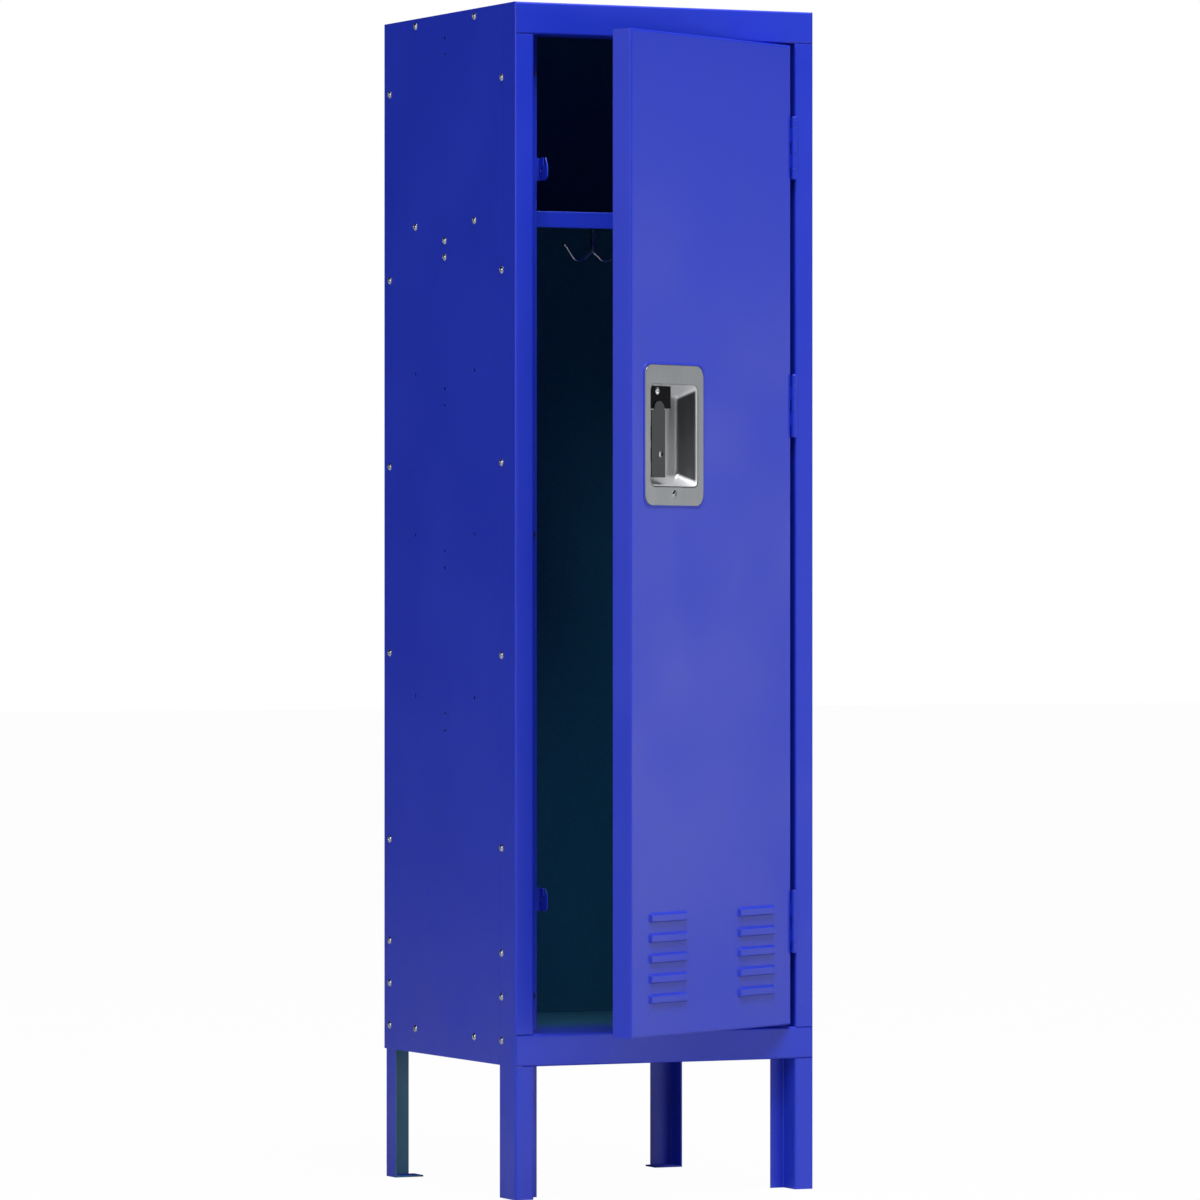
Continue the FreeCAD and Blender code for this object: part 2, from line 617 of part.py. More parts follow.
def foot(end, x, y, dx, dy, hole_y):
    """A foot plate inside the bottom of a leg, with its anchor hole."""
    plate = box(f"{end}_foot_blank", x, y, as_size(0), dx, dy, foot_sheet)
    hole = rod(f"{end}_anchor_hole", anchor_in_x, hole_y, 0 - overrun, anchor_radius,
               foot_sheet + 2 * overrun, "+Z")
    left = keep(f"{end}_left_foot_plate", cut(f"{end}_left_foot", plate, hole))
    keep(f"{end}_right_foot_plate", mirror(f"{end}_right_foot", left))


foot("front", frame_sheet + seam_gap, frame_sheet + seam_gap,
     post_face - 2 * (frame_sheet + seam_gap), post_side - frame_sheet - seam_gap,
     anchor_in_y)
foot("rear", leg_x + frame_sheet + seam_gap, leg_front,
     foot_width - leg_x - frame_sheet - seam_gap, leg_flange - frame_sheet - seam_gap,
     depth - anchor_in_y)


# ---------------------------------------------------------------- side screws and nuts
def side_screw(name, y, z):
    head = dome(f"{name}_head", as_size(0), y, z, head_radius, head_height, "-X")
    shank = rod(f"{name}_shank", as_size(0), y, z, shank_radius, shank_length, "+X")
    return fuse(name, [head, shank])


def side_nut(name, y, z):
    """A hexagon nut drawn up against the innermost sheet at its screw."""
    blank = doc.addObject("Part::Prism", f"{name}_blank")
    blank.Polygon = 6
    blank.Placement = Placement(Vector(), TURNS["+X"])
    bind(blank, Circumradius=nut_radius, Height=nut_height)
    seat(blank, leg_inside, y, z)
    bore = rod(f"{name}_bore", leg_inside - overrun, y, z, shank_radius + rivet_play,
               nut_height + 2 * overrun, "+X")
    return cut(name, blank, bore)


screws = keep("left_side_screws", group("left_screws", [
    side_screw(f"side_screw_{n}", y, z) for n, (y, z) in enumerate(side_screws)]))
keep("right_side_screws", mirror("right_screws", screws))
nuts = keep("left_side_nuts", group("left_nuts", [
    side_nut(f"side_nut_{n}", y, z) for n, (y, z) in enumerate(side_screws[:-2])]))
keep("right_side_nuts", mirror("right_nuts", nuts))


# ---------------------------------------------------------------- coat hooks
def wire(points, radius):
    """A round wire bent along lines and three-point arcs, in the row frame."""
    edges = []
    for kind, *stops in points:
        if kind == "line":
            edges.append(Part.makeLine(*stops))
        else:
            edges.append(Part.Arc(*stops).toShape())
    path = Part.Wire(edges)
    start = edges[0]
    ring = Part.Wire(Part.makeCircle(radius, start.valueAt(start.FirstParameter),
                                     start.tangentAt(start.FirstParameter)))
    return path.makePipeShell([ring], True, False)


def feature(name, shape):
    obj = doc.addObject("Part::Feature", name)
    obj.Shape = shape
    obj.Placement = Placement()
    return obj


# The ceiling hook hangs under the shelf's middle: a stem with one bowl on each side.
under_shelf = (shelf_top - panel_sheet).value
hook_y = (depth / 2 - tray_centre).value
root_z = under_shelf - stem_length.value
bowl = hook_bowl.value
span = prong_span.value
drop = bowl_drop.value
bowl_z = root_z - drop
tip_x = span + bowl + prong_lean.value
tip_z = bowl_z + prong_rise.value
root = Vector(0, hook_y, root_z)
pieces = [Part.makeCylinder(wire_radius.value, stem_length.value, root),
          Part.makeCylinder(collar_radius.value, collar_height.value,
                            Vector(0, hook_y, under_shelf - collar_height.value)),
          Part.makeCylinder(shank_radius.value, stud_length.value,
                            Vector(0, hook_y, under_shelf)),
          Part.makeSphere(root_radius.value, root)]
for side in (-1, 1):
    tip = Vector(side * tip_x, hook_y, tip_z)
    inner = Vector(side * (span - bowl), hook_y, bowl_z)
    outer = Vector(side * (span + bowl), hook_y, bowl_z)
    pieces.append(wire([
        ("line", root, inner),
        ("arc", inner, Vector(side * span, hook_y, bowl_z - drop), outer),
        ("line", outer, tip)], wire_radius.value))
    pieces.append(Part.makeSphere(ball_radius.value, tip))
keep("ceiling_coat_hook", feature("ceiling_hook", pieces[0].multiFuse(pieces[1:])))

shelf_hole = rod("shelf_hook_hole", width / 2, pair_y, shelf_top - overrun,
                 shank_radius + screw_play, 2 * overrun, "+Z")
keep("hat_shelf", cut("shelf_bored", shelf, shelf_hole))

nut_blank = doc.addObject("Part::Prism", "ceiling_nut_blank")
nut_blank.Polygon = 6
bind(nut_blank, Circumradius=nut_radius, Height=nut_height)
seat(nut_blank, width / 2, pair_y, shelf_top)
nut_bore = rod("ceiling_nut_bore", width / 2, pair_y, shelf_top - overrun,
               shank_radius + rivet_play, nut_height + 2 * overrun, "+Z")
keep("ceiling_hook_nut", cut("ceiling_nut", nut_blank, nut_bore))

# A side hook is a small plate behind the two hook screws, with one upturned prong.
pair_top = hook_screws[0][1].value
plate_x = (panel_sheet - width / 2).value
hook_plate_low = pair_top - (pair_pitch + side_plate_over).value
prong_x = plate_x + side_plate_sheet.value
prong_z = pair_top - pair_pitch.value / 2
run = side_prong_run.value
plate = Part.makeBox(side_plate_sheet.value, side_plate_width.value,
                     (pair_pitch + 2 * side_plate_over).value,
                     Vector(plate_x, hook_y - side_plate_width.value / 2, hook_plate_low))
inner = Vector(prong_x + run, hook_y, prong_z - run)
low = Vector(prong_x + 2 * run, hook_y, prong_z - run - side_prong_dip.value)
outer = Vector(prong_x + 3 * run, hook_y, prong_z - run)
tip = outer + Vector(side_prong_lean.value, 0, side_prong_rise.value)
prong = wire([("line", Vector(prong_x, hook_y, prong_z), inner), ("arc", inner, low, outer),
              ("line", outer, tip)], wire_radius.value)
hook_shape = plate.multiFuse([prong, Part.makeSphere(ball_radius.value, tip)])
side_hook = feature("side_hook_blank", hook_shape)
side_hook = keep("left_coat_hook", cut("side_hook_drilled", side_hook, side_drill))
keep("right_coat_hook", mirror("right_hook", side_hook))


# ---------------------------------------------------------------- door frame of reference
hinge_x = width - post_face - hinge_gap / 2
door_left = post_face + free_gap
door_right = width - post_face - hinge_gap
door_width = door_right - door_left
door_low = floor_top + end_gap
door_high = total_height - rail_face - end_gap
door_height = door_high - door_low
axis = Vector(hinge_x.value - width.value / 2, -barrel_out.value - depth.value / 2, 0)
opened = Placement(Vector(), Rotation(Vector(0, 0, 1), rest_angle.value), axis)


# ---------------------------------------------------------------- hinges
def hinge(where, middle):
    """Two leaves and a pin. The frame leaf has three knuckles and the door leaf two."""
    low = middle - hinge_height / 2
    mid_knuckle = hinge_height - 2 * end_knuckle - 2 * door_knuckle
    steps = [end_knuckle, door_knuckle, mid_knuckle, door_knuckle, end_knuckle]
    bottom = low
    leaf_start = barrel_radius + seam_gap - barrel_out
    for owner in ("frame", "door"):
        if owner == "frame":
            x = width - post_face - leaf_sheet
        else:
            x = door_right
        pieces = [box(f"{where}_{owner}_plate", x, leaf_start, low, leaf_sheet,
                      leaf_depth - leaf_start, hinge_height)]
        bottom = low
        for number, tall in enumerate(steps):
            if (number % 2 == 0) == (owner == "frame"):
                first = as_size(0) if number == 0 else knuckle_gap / 2
                last = as_size(0) if number == len(steps) - 1 else knuckle_gap / 2
                pieces.append(rod(f"{where}_{owner}_knuckle_{number}", hinge_x,
                                  0 - barrel_out, bottom + first, barrel_radius,
                                  tall - first - last, "+Z"))
                pieces.append(box(f"{where}_{owner}_tab_{number}", x, 0 - barrel_out,
                                  bottom + first, leaf_sheet, barrel_out + leaf_start,
                                  tall - first - last))
            bottom = bottom + tall
        bore = rod(f"{where}_{owner}_bore", hinge_x, 0 - barrel_out, low - overrun,
                   pin_radius + pin_play, hinge_height + 2 * overrun, "+Z")
        leaf = cut(f"{where}_{owner}_leaf", fuse(f"{where}_{owner}_solid", pieces), bore)
        keep(f"{where}_hinge_{owner}_leaf", leaf, opened if owner == "door" else None)
    pin = rod(f"{where}_pin_shaft", hinge_x, 0 - barrel_out, low, pin_radius,
              hinge_height, "+Z")
    cap_radius = barrel_radius - bend / 2
    caps = [dome(f"{where}_pin_cap_high", hinge_x, 0 - barrel_out, low + hinge_height,
                 cap_radius, pin_cap, "+Z"),
            dome(f"{where}_pin_cap_low", hinge_x, 0 - barrel_out, low,
                 cap_radius, pin_cap, "-Z")]
    keep(f"{where}_hinge_pin", fuse(f"{where}_pin", [pin] + caps))


for where, middle in (("upper", hinge_high), ("middle", hinge_mid), ("lower", hinge_low)):
    hinge(where, middle)


# ---------------------------------------------------------------- door pan with louvres
def front_edges(front):
    return lambda spot, way: near(spot.y, front - depth / 2) and abs(way.y) < 0.1


pan = rounded("pan_folded", box("pan_blank", door_left, as_size(0), door_low, door_width,
                                door_thick, door_height),
              bend + door_sheet, front_edges(as_size(0)))
hollow = box("pan_hollow", door_left + door_sheet, door_sheet, door_low + door_sheet,
             door_width - 2 * door_sheet, door_thick - 2 * door_sheet,
             door_height - 2 * door_sheet)
mouth = box("pan_mouth", door_left + door_lip, door_thick - 2 * door_sheet,
            door_low + door_lip, door_width - 2 * door_lip, door_sheet + overrun,
            door_height - 2 * door_lip)
cup_left = door_left + pocket_in
cup_margin = cup_sheet + seam_gap
cup_hole = box("cup_hole", cup_left - cup_margin, 0 - overrun, pocket_low - cup_margin,
               pocket_width + 2 * cup_margin, overrun + 2 * door_sheet,
               pocket_height + 2 * cup_margin)
door_middle = door_left + door_width / 2


def wedge(name, x, z, half, back, front, back_low, back_high, front_in, front_high):
    """A hood that narrows towards the front: wide at y = back, slim at y = front."""
    obj = doc.addObject("Part::Wedge", name)
    bind(obj, Ymin=front, Ymax=back,
         Xmin=front_in - half, Xmax=half - front_in, X2min=0 - half, X2max=half,
         Zmin=back_low, Zmax=front_high, Z2min=back_low, Z2max=back_high)
    return seat(obj, x, as_size(0), z)


def hood(name, x, z):
    """A louvre's hood: leaning ends and top with soft edges, and a flat lower lip."""
    half_tall = louvre_height / 2
    blank = wedge(f"{name}_blank", x, z, louvre_width / 2, door_sheet / 2, 0 - louvre_rise,
                  0 - half_tall, half_tall, louvre_lean, half_tall - louvre_lean)
    cornered = rounded(f"{name}_cornered", blank, louvre_corner,
                       lambda spot, way: abs(way.y) > 0.5 and spot.z > z.value)
    return rounded(name, cornered, louvre_soft, front_edges(0 - louvre_rise))


hoods = []
slots = []
for column, side in (("left", -1), ("right", 1)):
    for row in range(louvre_rows):
        x = door_middle + side * louvre_out
        z = louvre_low + row * louvre_pitch
        name = f"louvre_{column}_{row}"
        half_tall = louvre_height / 2
        hoods.append(hood(f"{name}_hood", x, z))
        slots.append(wedge(f"{name}_slot", x, z, louvre_width / 2 - door_sheet,
                           door_sheet + bend, door_sheet - louvre_rise,
                           0 - half_tall - seam_gap, half_tall - door_sheet,
                           louvre_lean, half_tall - louvre_lean - door_sheet))
pan = cut("pan_open", pan, hollow, mouth, cup_hole)
pan = cut("pan_louvred", fuse("pan_hooded", [pan] + hoods), group("louvre_slots", slots))

brace = section("brace", "XY", [
    (door_middle - brace_width / 2, door_sheet),
    (door_middle - brace_width / 4, door_sheet),
    (door_middle - brace_width / 4, brace_depth),
    (door_middle + brace_width / 4, brace_depth),
    (door_middle + brace_width / 4, door_sheet),
    (door_middle + brace_width / 2, door_sheet),
    (door_middle + brace_width / 2, 2 * door_sheet),
    (door_middle + brace_width / 4 + door_sheet, 2 * door_sheet),
    (door_middle + brace_width / 4 + door_sheet, door_sheet + brace_depth),
    (door_middle - brace_width / 4 - door_sheet, door_sheet + brace_depth),
    (door_middle - brace_width / 4 - door_sheet, 2 * door_sheet),
    (door_middle - brace_width / 2, 2 * door_sheet)],
    door_low + door_lip + bend, door_height - 2 * door_lip - 2 * bend)
keep("door_stiffener", brace, opened)


# ---------------------------------------------------------------- handle cup
plate_left = door_left + plate_in
plate_blank = rounded("handle_plate", box("plate_blank", plate_left, 0 - cup_sheet,
                                          plate_low, plate_width, cup_sheet, plate_height),
                      plate_corner, lambda spot, way: abs(way.y) > 0.9)


def pocket(name, grow, front, back):
    """The drafted pocket's outside (grow = sheet) or inside (grow = 0)."""
    obj = doc.addObject("Part::Wedge", name)
    bind(obj, Ymin=front, Ymax=back, Xmin=0 - grow, Xmax=pocket_width + grow,
         X2min=draft_side - grow, X2max=pocket_width - draft_side + grow,
         Zmin=0 - grow, Zmax=pocket_height + grow,
         Z2min=draft_end - grow, Z2max=pocket_height - draft_end + grow)
    seat(obj, cup_left, as_size(0), pocket_low)
    sides = rounded(f"{name}_sides", obj, pocket_corner + grow,
                    lambda spot, way: abs(way.y) > 0.5)
    return rounded(f"{name}_rounded", sides, pocket_floor_bend + grow, front_edges(back))


shell = fuse("cup_shell", [plate_blank, pocket("cup_outside", cup_sheet, 0 - cup_sheet,
                                               pocket_depth + cup_sheet)])
arm_slot = box("arm_slot", cup_left - overrun, arm_back - lever_sheet - bend,
               arm_low - bend, draft_side + 2 * overrun, lever_sheet + 2 * bend,
               arm_height + lift + 2 * bend)
screw_x = plate_left + plate_width / 2
screw_z = pocket_low - plate_screw_drop
plate_screw_hole = rod("plate_screw_hole", screw_x, 0 - overrun, screw_z,
                       shank_radius + screw_play, 2 * overrun, "+Y")
cup_inside = pocket("cup_inside", as_size(0), 0 - cup_sheet, pocket_depth)
cup_middle = cup_left + pocket_width / 2 - width / 2
pocket_middle = pocket_low + pocket_height / 2


def at_rim(spot, way):
    """True for the front edges round the pocket's mouth, and not round the plate."""
    return (front_edges(0 - cup_sheet)(spot, way)
            and abs(spot.x - cup_middle.value) < (pocket_width / 2 + bend).value
            and abs(spot.z - pocket_middle.value) < (pocket_height / 2 + bend).value)


def at_plate_edge(spot, way):
    """True for the front edges round the plate."""
    return front_edges(0 - cup_sheet)(spot, way) and not at_rim(spot, way)


cup = rounded("cup_rimmed", cut("cup_hollow", shell, cup_inside), rim_roll, at_rim)
cup = rounded("cup_edged", cup, plate_edge, at_plate_edge)
keep("handle_cup", cut("cup", cup, arm_slot, plate_screw_hole), opened)

pan_screw_hole = rod("pan_screw_hole", screw_x, 0 - overrun, screw_z,
                     shank_radius + screw_play, 2 * overrun, "+Y")
keep("door_panel", cut("pan_drilled", pan, pan_screw_hole), opened)
plate_screw = fuse("plate_screw", [
    dome("plate_screw_head", screw_x, 0 - cup_sheet, screw_z, head_radius, head_height / 2,
         "-Y"),
    rod("plate_screw_shank", screw_x, 0 - cup_sheet, screw_z, shank_radius,
        cup_sheet + door_sheet + nut_height, "+Y")])
keep("handle_screw", plate_screw, opened)


# ---------------------------------------------------------------- latch block
block_back = pocket_depth - seam_gap
block_box = box("block_box", cup_left, block_front, block_low, block_width,
                block_back - block_front, pocket_low + pocket_height - block_low)
block_space = pocket("block_space", 0 - seam_gap, 0 - cup_sheet, pocket_depth)
block = doc.addObject("Part::Common", "block_solid")
block.Base = block_box
block.Tool = block_space
rivet_x = door_left + block_rivet_in
block_hole = rod("block_rivet_hole", rivet_x, 0 - overrun, block_rivet,
                 rivet_radius + rivet_play, overrun + block_front + block_rivet_length + bend,
                 "+Y")
keep("latch_block", cut("latch_block_bored", block, block_hole), opened)
keep("latch_block_rivet", fuse("block_rivet_solid", [
    dome("block_rivet_head", rivet_x, block_front, block_rivet, head_radius,
         rivet_rise / 2, "-Y"),
    rod("block_rivet_shank", rivet_x, block_front, block_rivet, rivet_radius,
        block_rivet_length, "+Y")]), opened)


# ---------------------------------------------------------------- lift lever and staple
lever_x = door_left + lever_left
lever_end = door_left + lever_right
bar_x = door_left + bar_left
tab_x = bar_x + bar_sheet
side_x = lever_x + lever_shoulder
arm_front = arm_back - lever_sheet
round_x = lever_end - lever_round - bend
round_z = lever_top - lever_round
eye_x = lever_end - eye_in
blade = [
    box("lever_blade", lever_x, lever_front, lever_low, lever_end - lever_x, lever_sheet,
        round_z - lever_low),
    rod("lever_top_round", round_x, lever_front, round_z, lever_round, lever_sheet, "+Y"),
    box("lever_lip", side_x, lever_front, lever_low, lever_end - side_x,
        lever_lip, lever_sheet),
    box("lever_side", side_x, lever_front, arm_low, lever_sheet, arm_back - lever_front,
        arm_height),
    box("lever_arm", tab_x, arm_front, arm_low, side_x + lever_sheet - tab_x, lever_sheet,
        arm_height),
    box("lever_tab", tab_x, bar_front, arm_low, lever_sheet, bar_depth, arm_height)]
lever_eye = rod("lever_eye", eye_x, lever_front - overrun, eye_height, eye_radius,
                lever_sheet + 2 * overrun, "+Y")
tab_rivets = [arm_low + arm_height * share for share in (0.25, 0.75)]
tab_rivet_y = bar_front + bar_depth - tab_rivet_in
tab_drill = group("tab_drill", [
    rod(f"tab_rivet_hole_{n}", bar_x - overrun, tab_rivet_y, z, rivet_radius + rivet_play,
        bar_sheet + lever_sheet + 2 * overrun, "+X") for n, z in enumerate(tab_rivets)])
keep("lift_lever", cut("lever", fuse("lever_solid", blade), lever_eye, tab_drill), opened)

staple_front = lever_front + lever_sheet + staple_gap
staple_left = eye_x - eye_in - bend
staple_low = eye_height - eye_in
staple = fuse("staple_solid", [
    box("staple_face", staple_left, staple_front, staple_low, lever_end - staple_left,
        staple_sheet, 2 * eye_in),
    box("staple_leg", staple_left, staple_front, staple_low, staple_sheet,
        pocket_depth - staple_front, 2 * eye_in)])
staple_eye = rod("staple_eye", eye_x, staple_front - overrun, eye_height, eye_radius,
                 staple_sheet + 2 * overrun, "+Y")
keep("padlock_staple", cut("staple", staple, staple_eye), opened)


# ---------------------------------------------------------------- lock bar and frame hooks
pin_y = hook_front + hook_nose + notch_width / 2
pin_heights = [z + hook_height / 2 - notch_depth + catch_play + catch_radius
               for z in (hook_high, hook_low)]
bar_low = pin_heights[1] - bar_over
bar_high = pin_heights[0] + bar_over
bar = box("bar_strip", bar_x, bar_front, bar_low, bar_sheet, bar_depth, bar_high - bar_low)
pin_drill = group("pin_drill", [
    rod(f"pin_hole_{n}", bar_x - overrun, pin_y, z, rivet_radius + rivet_play,
        bar_sheet + 2 * overrun, "+X") for n, z in enumerate(pin_heights)])
keep("lock_bar", cut("bar", bar, tab_drill, pin_drill), opened)


def rivet(name, x, y, z, gauge):
    """A rivet along X that clamps a stack of sheets of a given total thickness."""
    return fuse(name, [
        rod(f"{name}_shank", x, y, z, rivet_radius, gauge, "+X"),
        dome(f"{name}_left", x, y, z, rivet_head, rivet_rise, "-X"),
        dome(f"{name}_right", x + gauge, y, z, rivet_head, rivet_rise, "+X")])


keep("lever_rivets", group("lever_rivet_pair", [
    rivet(f"lever_rivet_{n}", bar_x, tab_rivet_y, z, bar_sheet + lever_sheet)
    for n, z in enumerate(tab_rivets)]), opened)
catches = []
for n, z in enumerate(pin_heights):
    catches.append(fuse(f"catch_{n}", [
        rod(f"catch_{n}_pin", bar_x - catch_reach, pin_y, z, catch_radius, catch_reach, "+X"),
        rod(f"catch_{n}_neck", bar_x, pin_y, z, rivet_radius, bar_sheet, "+X"),
        dome(f"catch_{n}_head", bar_x + bar_sheet, pin_y, z, rivet_head, rivet_rise, "+X")]))
keep("lock_bar_pins", group("catch_pair", catches), opened)

GUIDE_SHARES = (0.12, 0.40, 0.88)   # how far up the lock bar each guide sits
guides = []
for n, share in enumerate(GUIDE_SHARES):
    z = bar_low + (bar_high - bar_low) * share
    block = box(f"guide_{n}_block", bar_x - guide_wall - guide_play, door_sheet, z,
                bar_sheet + 2 * guide_wall + 2 * guide_play,
                bar_front + bar_depth + guide_play + guide_wall / 2 - door_sheet, guide_height)
    way = box(f"guide_{n}_way", bar_x - guide_play, bar_front - guide_play, z - overrun,
              bar_sheet + 2 * guide_play, bar_depth + 2 * guide_play,
              guide_height + 2 * overrun)
    guides.append(cut(f"guide_{n}", block, way))
keep("lock_bar_guides", group("guide_set", guides), opened)


def frame_hook(label, middle):
    """A strike: a base behind the door stop and a notched fin that points forward."""
    low = middle - hook_height / 2
    high = middle + hook_height / 2
    notch_front = pin_y - notch_width / 2
    notch_back = pin_y + notch_width / 2
    fin = section(f"{label}_fin", "YZ", [
        (hook_back, low), (hook_back, high), (notch_back, high),
        (notch_back, high - notch_depth), (notch_front, high - notch_depth),
        (notch_front, high), (hook_front, high - notch_depth - bend),
        (hook_front, low + notch_depth / 2), (hook_front + notch_depth / 2, low)],
        hook_side, frame_sheet)
    base = box(f"{label}_base", hook_rivet_x - notch_width, stop_depth, low,
               hook_side + frame_sheet - hook_rivet_x + notch_width, frame_sheet, hook_height)
    eye = rod(f"{label}_eye", hook_side - overrun, (notch_back + stop_depth) / 2, middle,
              hook_eye, frame_sheet + 2 * overrun, "+X")
    keep(label, cut(f"{label}_drilled", fuse(f"{label}_solid", [fin, base]), eye,
                    hook_rivet_drill))


frame_hook("upper_frame_hook", hook_high)
frame_hook("lower_frame_hook", hook_low)
keep("frame_hook_rivets", group("hook_rivet_set", [
    fuse(f"hook_rivet_{n}", [
        rod(f"hook_rivet_{n}_shank", hook_rivet_x, stop_front, z, rivet_radius,
            2 * frame_sheet, "+Y"),
        dome(f"hook_rivet_{n}_front", hook_rivet_x, stop_front, z, rivet_head, rivet_rise,
             "-Y"),
        dome(f"hook_rivet_{n}_back", hook_rivet_x, hook_back, z, rivet_head, rivet_rise,
             "+Y")])
    for n, z in enumerate(hook_rivets)]))

# Rubber bumpers on the left door stop, which the closed door's lip comes to rest near.
bumper_x = door_left + door_lip / 2
keep("door_bumpers", group("bumper_set", [
    rod(f"bumper_{n}", bumper_x, stop_front, z, bumper_radius, bumper_height, "-Y")
    for n, z in enumerate((door_low + bumper_in, (door_low + door_high) / 2,
                           door_high - bumper_in))]))


# ---------------------------------------------------------------- check and write
doc.recompute()
for obj in doc.Objects:
    if "Invalid" in obj.State or "Error" in obj.State:
        raise RuntimeError(f"{obj.Name} failed: {obj.State}")
os.makedirs("parts", exist_ok=True)
for obj in nodes:
    shape = obj.Shape
    if shape.isNull() or not shape.isValid() or not shape.Solids:
        raise RuntimeError(f"{obj.Label} has no valid solid")
    shape.exportStep(f"parts/{obj.Label}.step")
    print(f"{obj.Label}: {len(shape.Solids)} solid(s), {shape.Volume / 1000:.2f} cm3")
print(f"{len(nodes)} nodes")
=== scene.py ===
# %% [markdown]
# # A steel school locker
# The locker is a tall sheet-steel cabinet on four short legs, with one louvred door
# that stands ajar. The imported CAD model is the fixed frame: each sheet, screw and
# hinge leaf keeps its place. These cells give the parts their finishes, and replace
# the small parts that are seen closely with finer shapes.

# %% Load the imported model
import json
import math

import bmesh
import bpy
import numpy as np
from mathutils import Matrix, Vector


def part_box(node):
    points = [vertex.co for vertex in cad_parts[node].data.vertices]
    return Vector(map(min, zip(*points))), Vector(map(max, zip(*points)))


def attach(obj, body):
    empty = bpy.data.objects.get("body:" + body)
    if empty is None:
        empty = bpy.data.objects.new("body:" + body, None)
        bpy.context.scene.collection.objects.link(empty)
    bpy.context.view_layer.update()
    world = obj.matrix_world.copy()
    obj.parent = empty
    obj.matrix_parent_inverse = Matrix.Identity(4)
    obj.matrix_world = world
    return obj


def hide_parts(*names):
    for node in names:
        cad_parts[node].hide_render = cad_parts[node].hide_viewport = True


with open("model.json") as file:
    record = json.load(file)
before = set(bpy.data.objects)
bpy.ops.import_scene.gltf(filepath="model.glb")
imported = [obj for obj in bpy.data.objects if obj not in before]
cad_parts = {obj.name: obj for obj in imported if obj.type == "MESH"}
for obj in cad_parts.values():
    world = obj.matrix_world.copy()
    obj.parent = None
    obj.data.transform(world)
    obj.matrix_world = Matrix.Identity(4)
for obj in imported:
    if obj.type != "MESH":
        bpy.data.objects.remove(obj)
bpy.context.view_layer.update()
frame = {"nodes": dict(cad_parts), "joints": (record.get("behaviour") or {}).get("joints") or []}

nodes = frame["nodes"]

# %% [markdown]
# ## Sizes taken from the frame
# Every position below starts from the cabinet's size, a CAD node's points or a joint,
# in metres, so the new pieces land where the real ones do. The door stands open by
# thirty degrees about its hinge, so the way out of its face and the way across it are
# turned by as much, and the door's pieces are placed along these two ways.

# %% Sizes
MM = 0.001
MERGE = 0.000002
WIDTH = 381 * MM
DEPTH = 381 * MM
HEIGHT = 1371.6 * MM
OPEN_ANGLE = math.radians(30)
OUTWARD = (math.sin(OPEN_ANGLE), -math.cos(OPEN_ANGLE), 0)
INWARD = (-math.sin(OPEN_ANGLE), math.cos(OPEN_ANGLE), 0)
ACROSS = (math.cos(OPEN_ANGLE), math.sin(OPEN_ANGLE), 0)
FACE_BEHIND_AXIS = 2.5 * MM
swing = next(j for j in frame["joints"] if j["name"] == "door_swing")
door_face = float(np.dot(swing["pos_m"], OUTWARD)) - FACE_BEHIND_AXIS
print("joint:", swing["name"], "door's face along the way out:", round(door_face, 4))

# %% [markdown]
# ## Camera
# A long lens far away flattens the perspective: the upright edges stay parallel and
# the top rail only leans a little. The camera looks level, from the front left, and a
# small shift lifts the view so that the feet fit.

# %% Camera
SENSOR = 36.0
LENS = 216.12
SHIFT = -0.0121
CAMERA_PLACE = (-3.5779, -7.7019, 0.7034)
CAMERA_TURN = math.radians(24.947)
camera = bpy.data.objects.new("camera", bpy.data.cameras.new("camera"))
camera.data.sensor_width = SENSOR
camera.data.lens = LENS
camera.data.shift_y = SHIFT
camera.location = CAMERA_PLACE
camera.rotation_euler = (math.radians(90), 0, -CAMERA_TURN)
bpy.context.scene.collection.objects.link(camera)
bpy.context.scene.camera = camera
print("camera looks along x", round(math.sin(CAMERA_TURN), 3), "y", round(math.cos(CAMERA_TURN), 3))

# %% [markdown]
# ## Floor and light
# The locker stands on a plain pale floor. A strong lamp high over the front, and softer
# ones from the left, make the front faces about one and a half times as bright as the
# side. A broad lamp low on the right stands where the open door mirrors it, and puts a
# pale sheen on the door. The world is white where the camera sees it and dim where it
# lights, as in a studio with a white paper behind.

# %% Floor and light
bpy.context.scene.view_settings.view_transform = "Standard"


def soft_lamp(name, place, aim, size, power):
    """An area lamp at place that faces aim, and that the camera doesn't see."""
    lamp = bpy.data.lights.new(name, "AREA")
    lamp.shape = "RECTANGLE"
    lamp.size, lamp.size_y = size
    lamp.energy = power
    thing = bpy.data.objects.new(name, lamp)
    thing.location = place
    way = np.array(aim, float) - np.array(place, float)
    flat = math.hypot(way[0], way[1])
    thing.rotation_euler = (math.atan2(flat, -way[2]), 0, math.atan2(-way[0], way[1]))
    thing.visible_camera = False
    bpy.context.scene.collection.objects.link(thing)


MIDDLE = (0, 0, 0.7)
DOOR_MIDDLE = (0.1, -0.2, 0.5)
DOOR_FOOT = (0.1, -0.2, 0.2)
# Each lamp: its place, what it faces, its width and height in metres, its watts.
LAMPS = {
    "key_lamp": ((-3.2, -4.2, 4.6), MIDDLE, (2.4, 2.4), 70),
    "top_lamp": ((0, -2.1, 6.1), MIDDLE, (3.0, 3.0), 490),
    "side_lamp": ((-4.6, -1.4, 2.0), MIDDLE, (1.6, 2.4), 52),
    "sheen_lamp": ((4.5, -1.2, 0.55), DOOR_MIDDLE, (1.6, 1.7), 24),
    "low_lamp": ((1.5, -4.5, 0.3), DOOR_FOOT, (2.6, 0.6), 18),
}
for name, numbers in LAMPS.items():
    soft_lamp(name, *numbers)
print("lamps:", list(LAMPS))

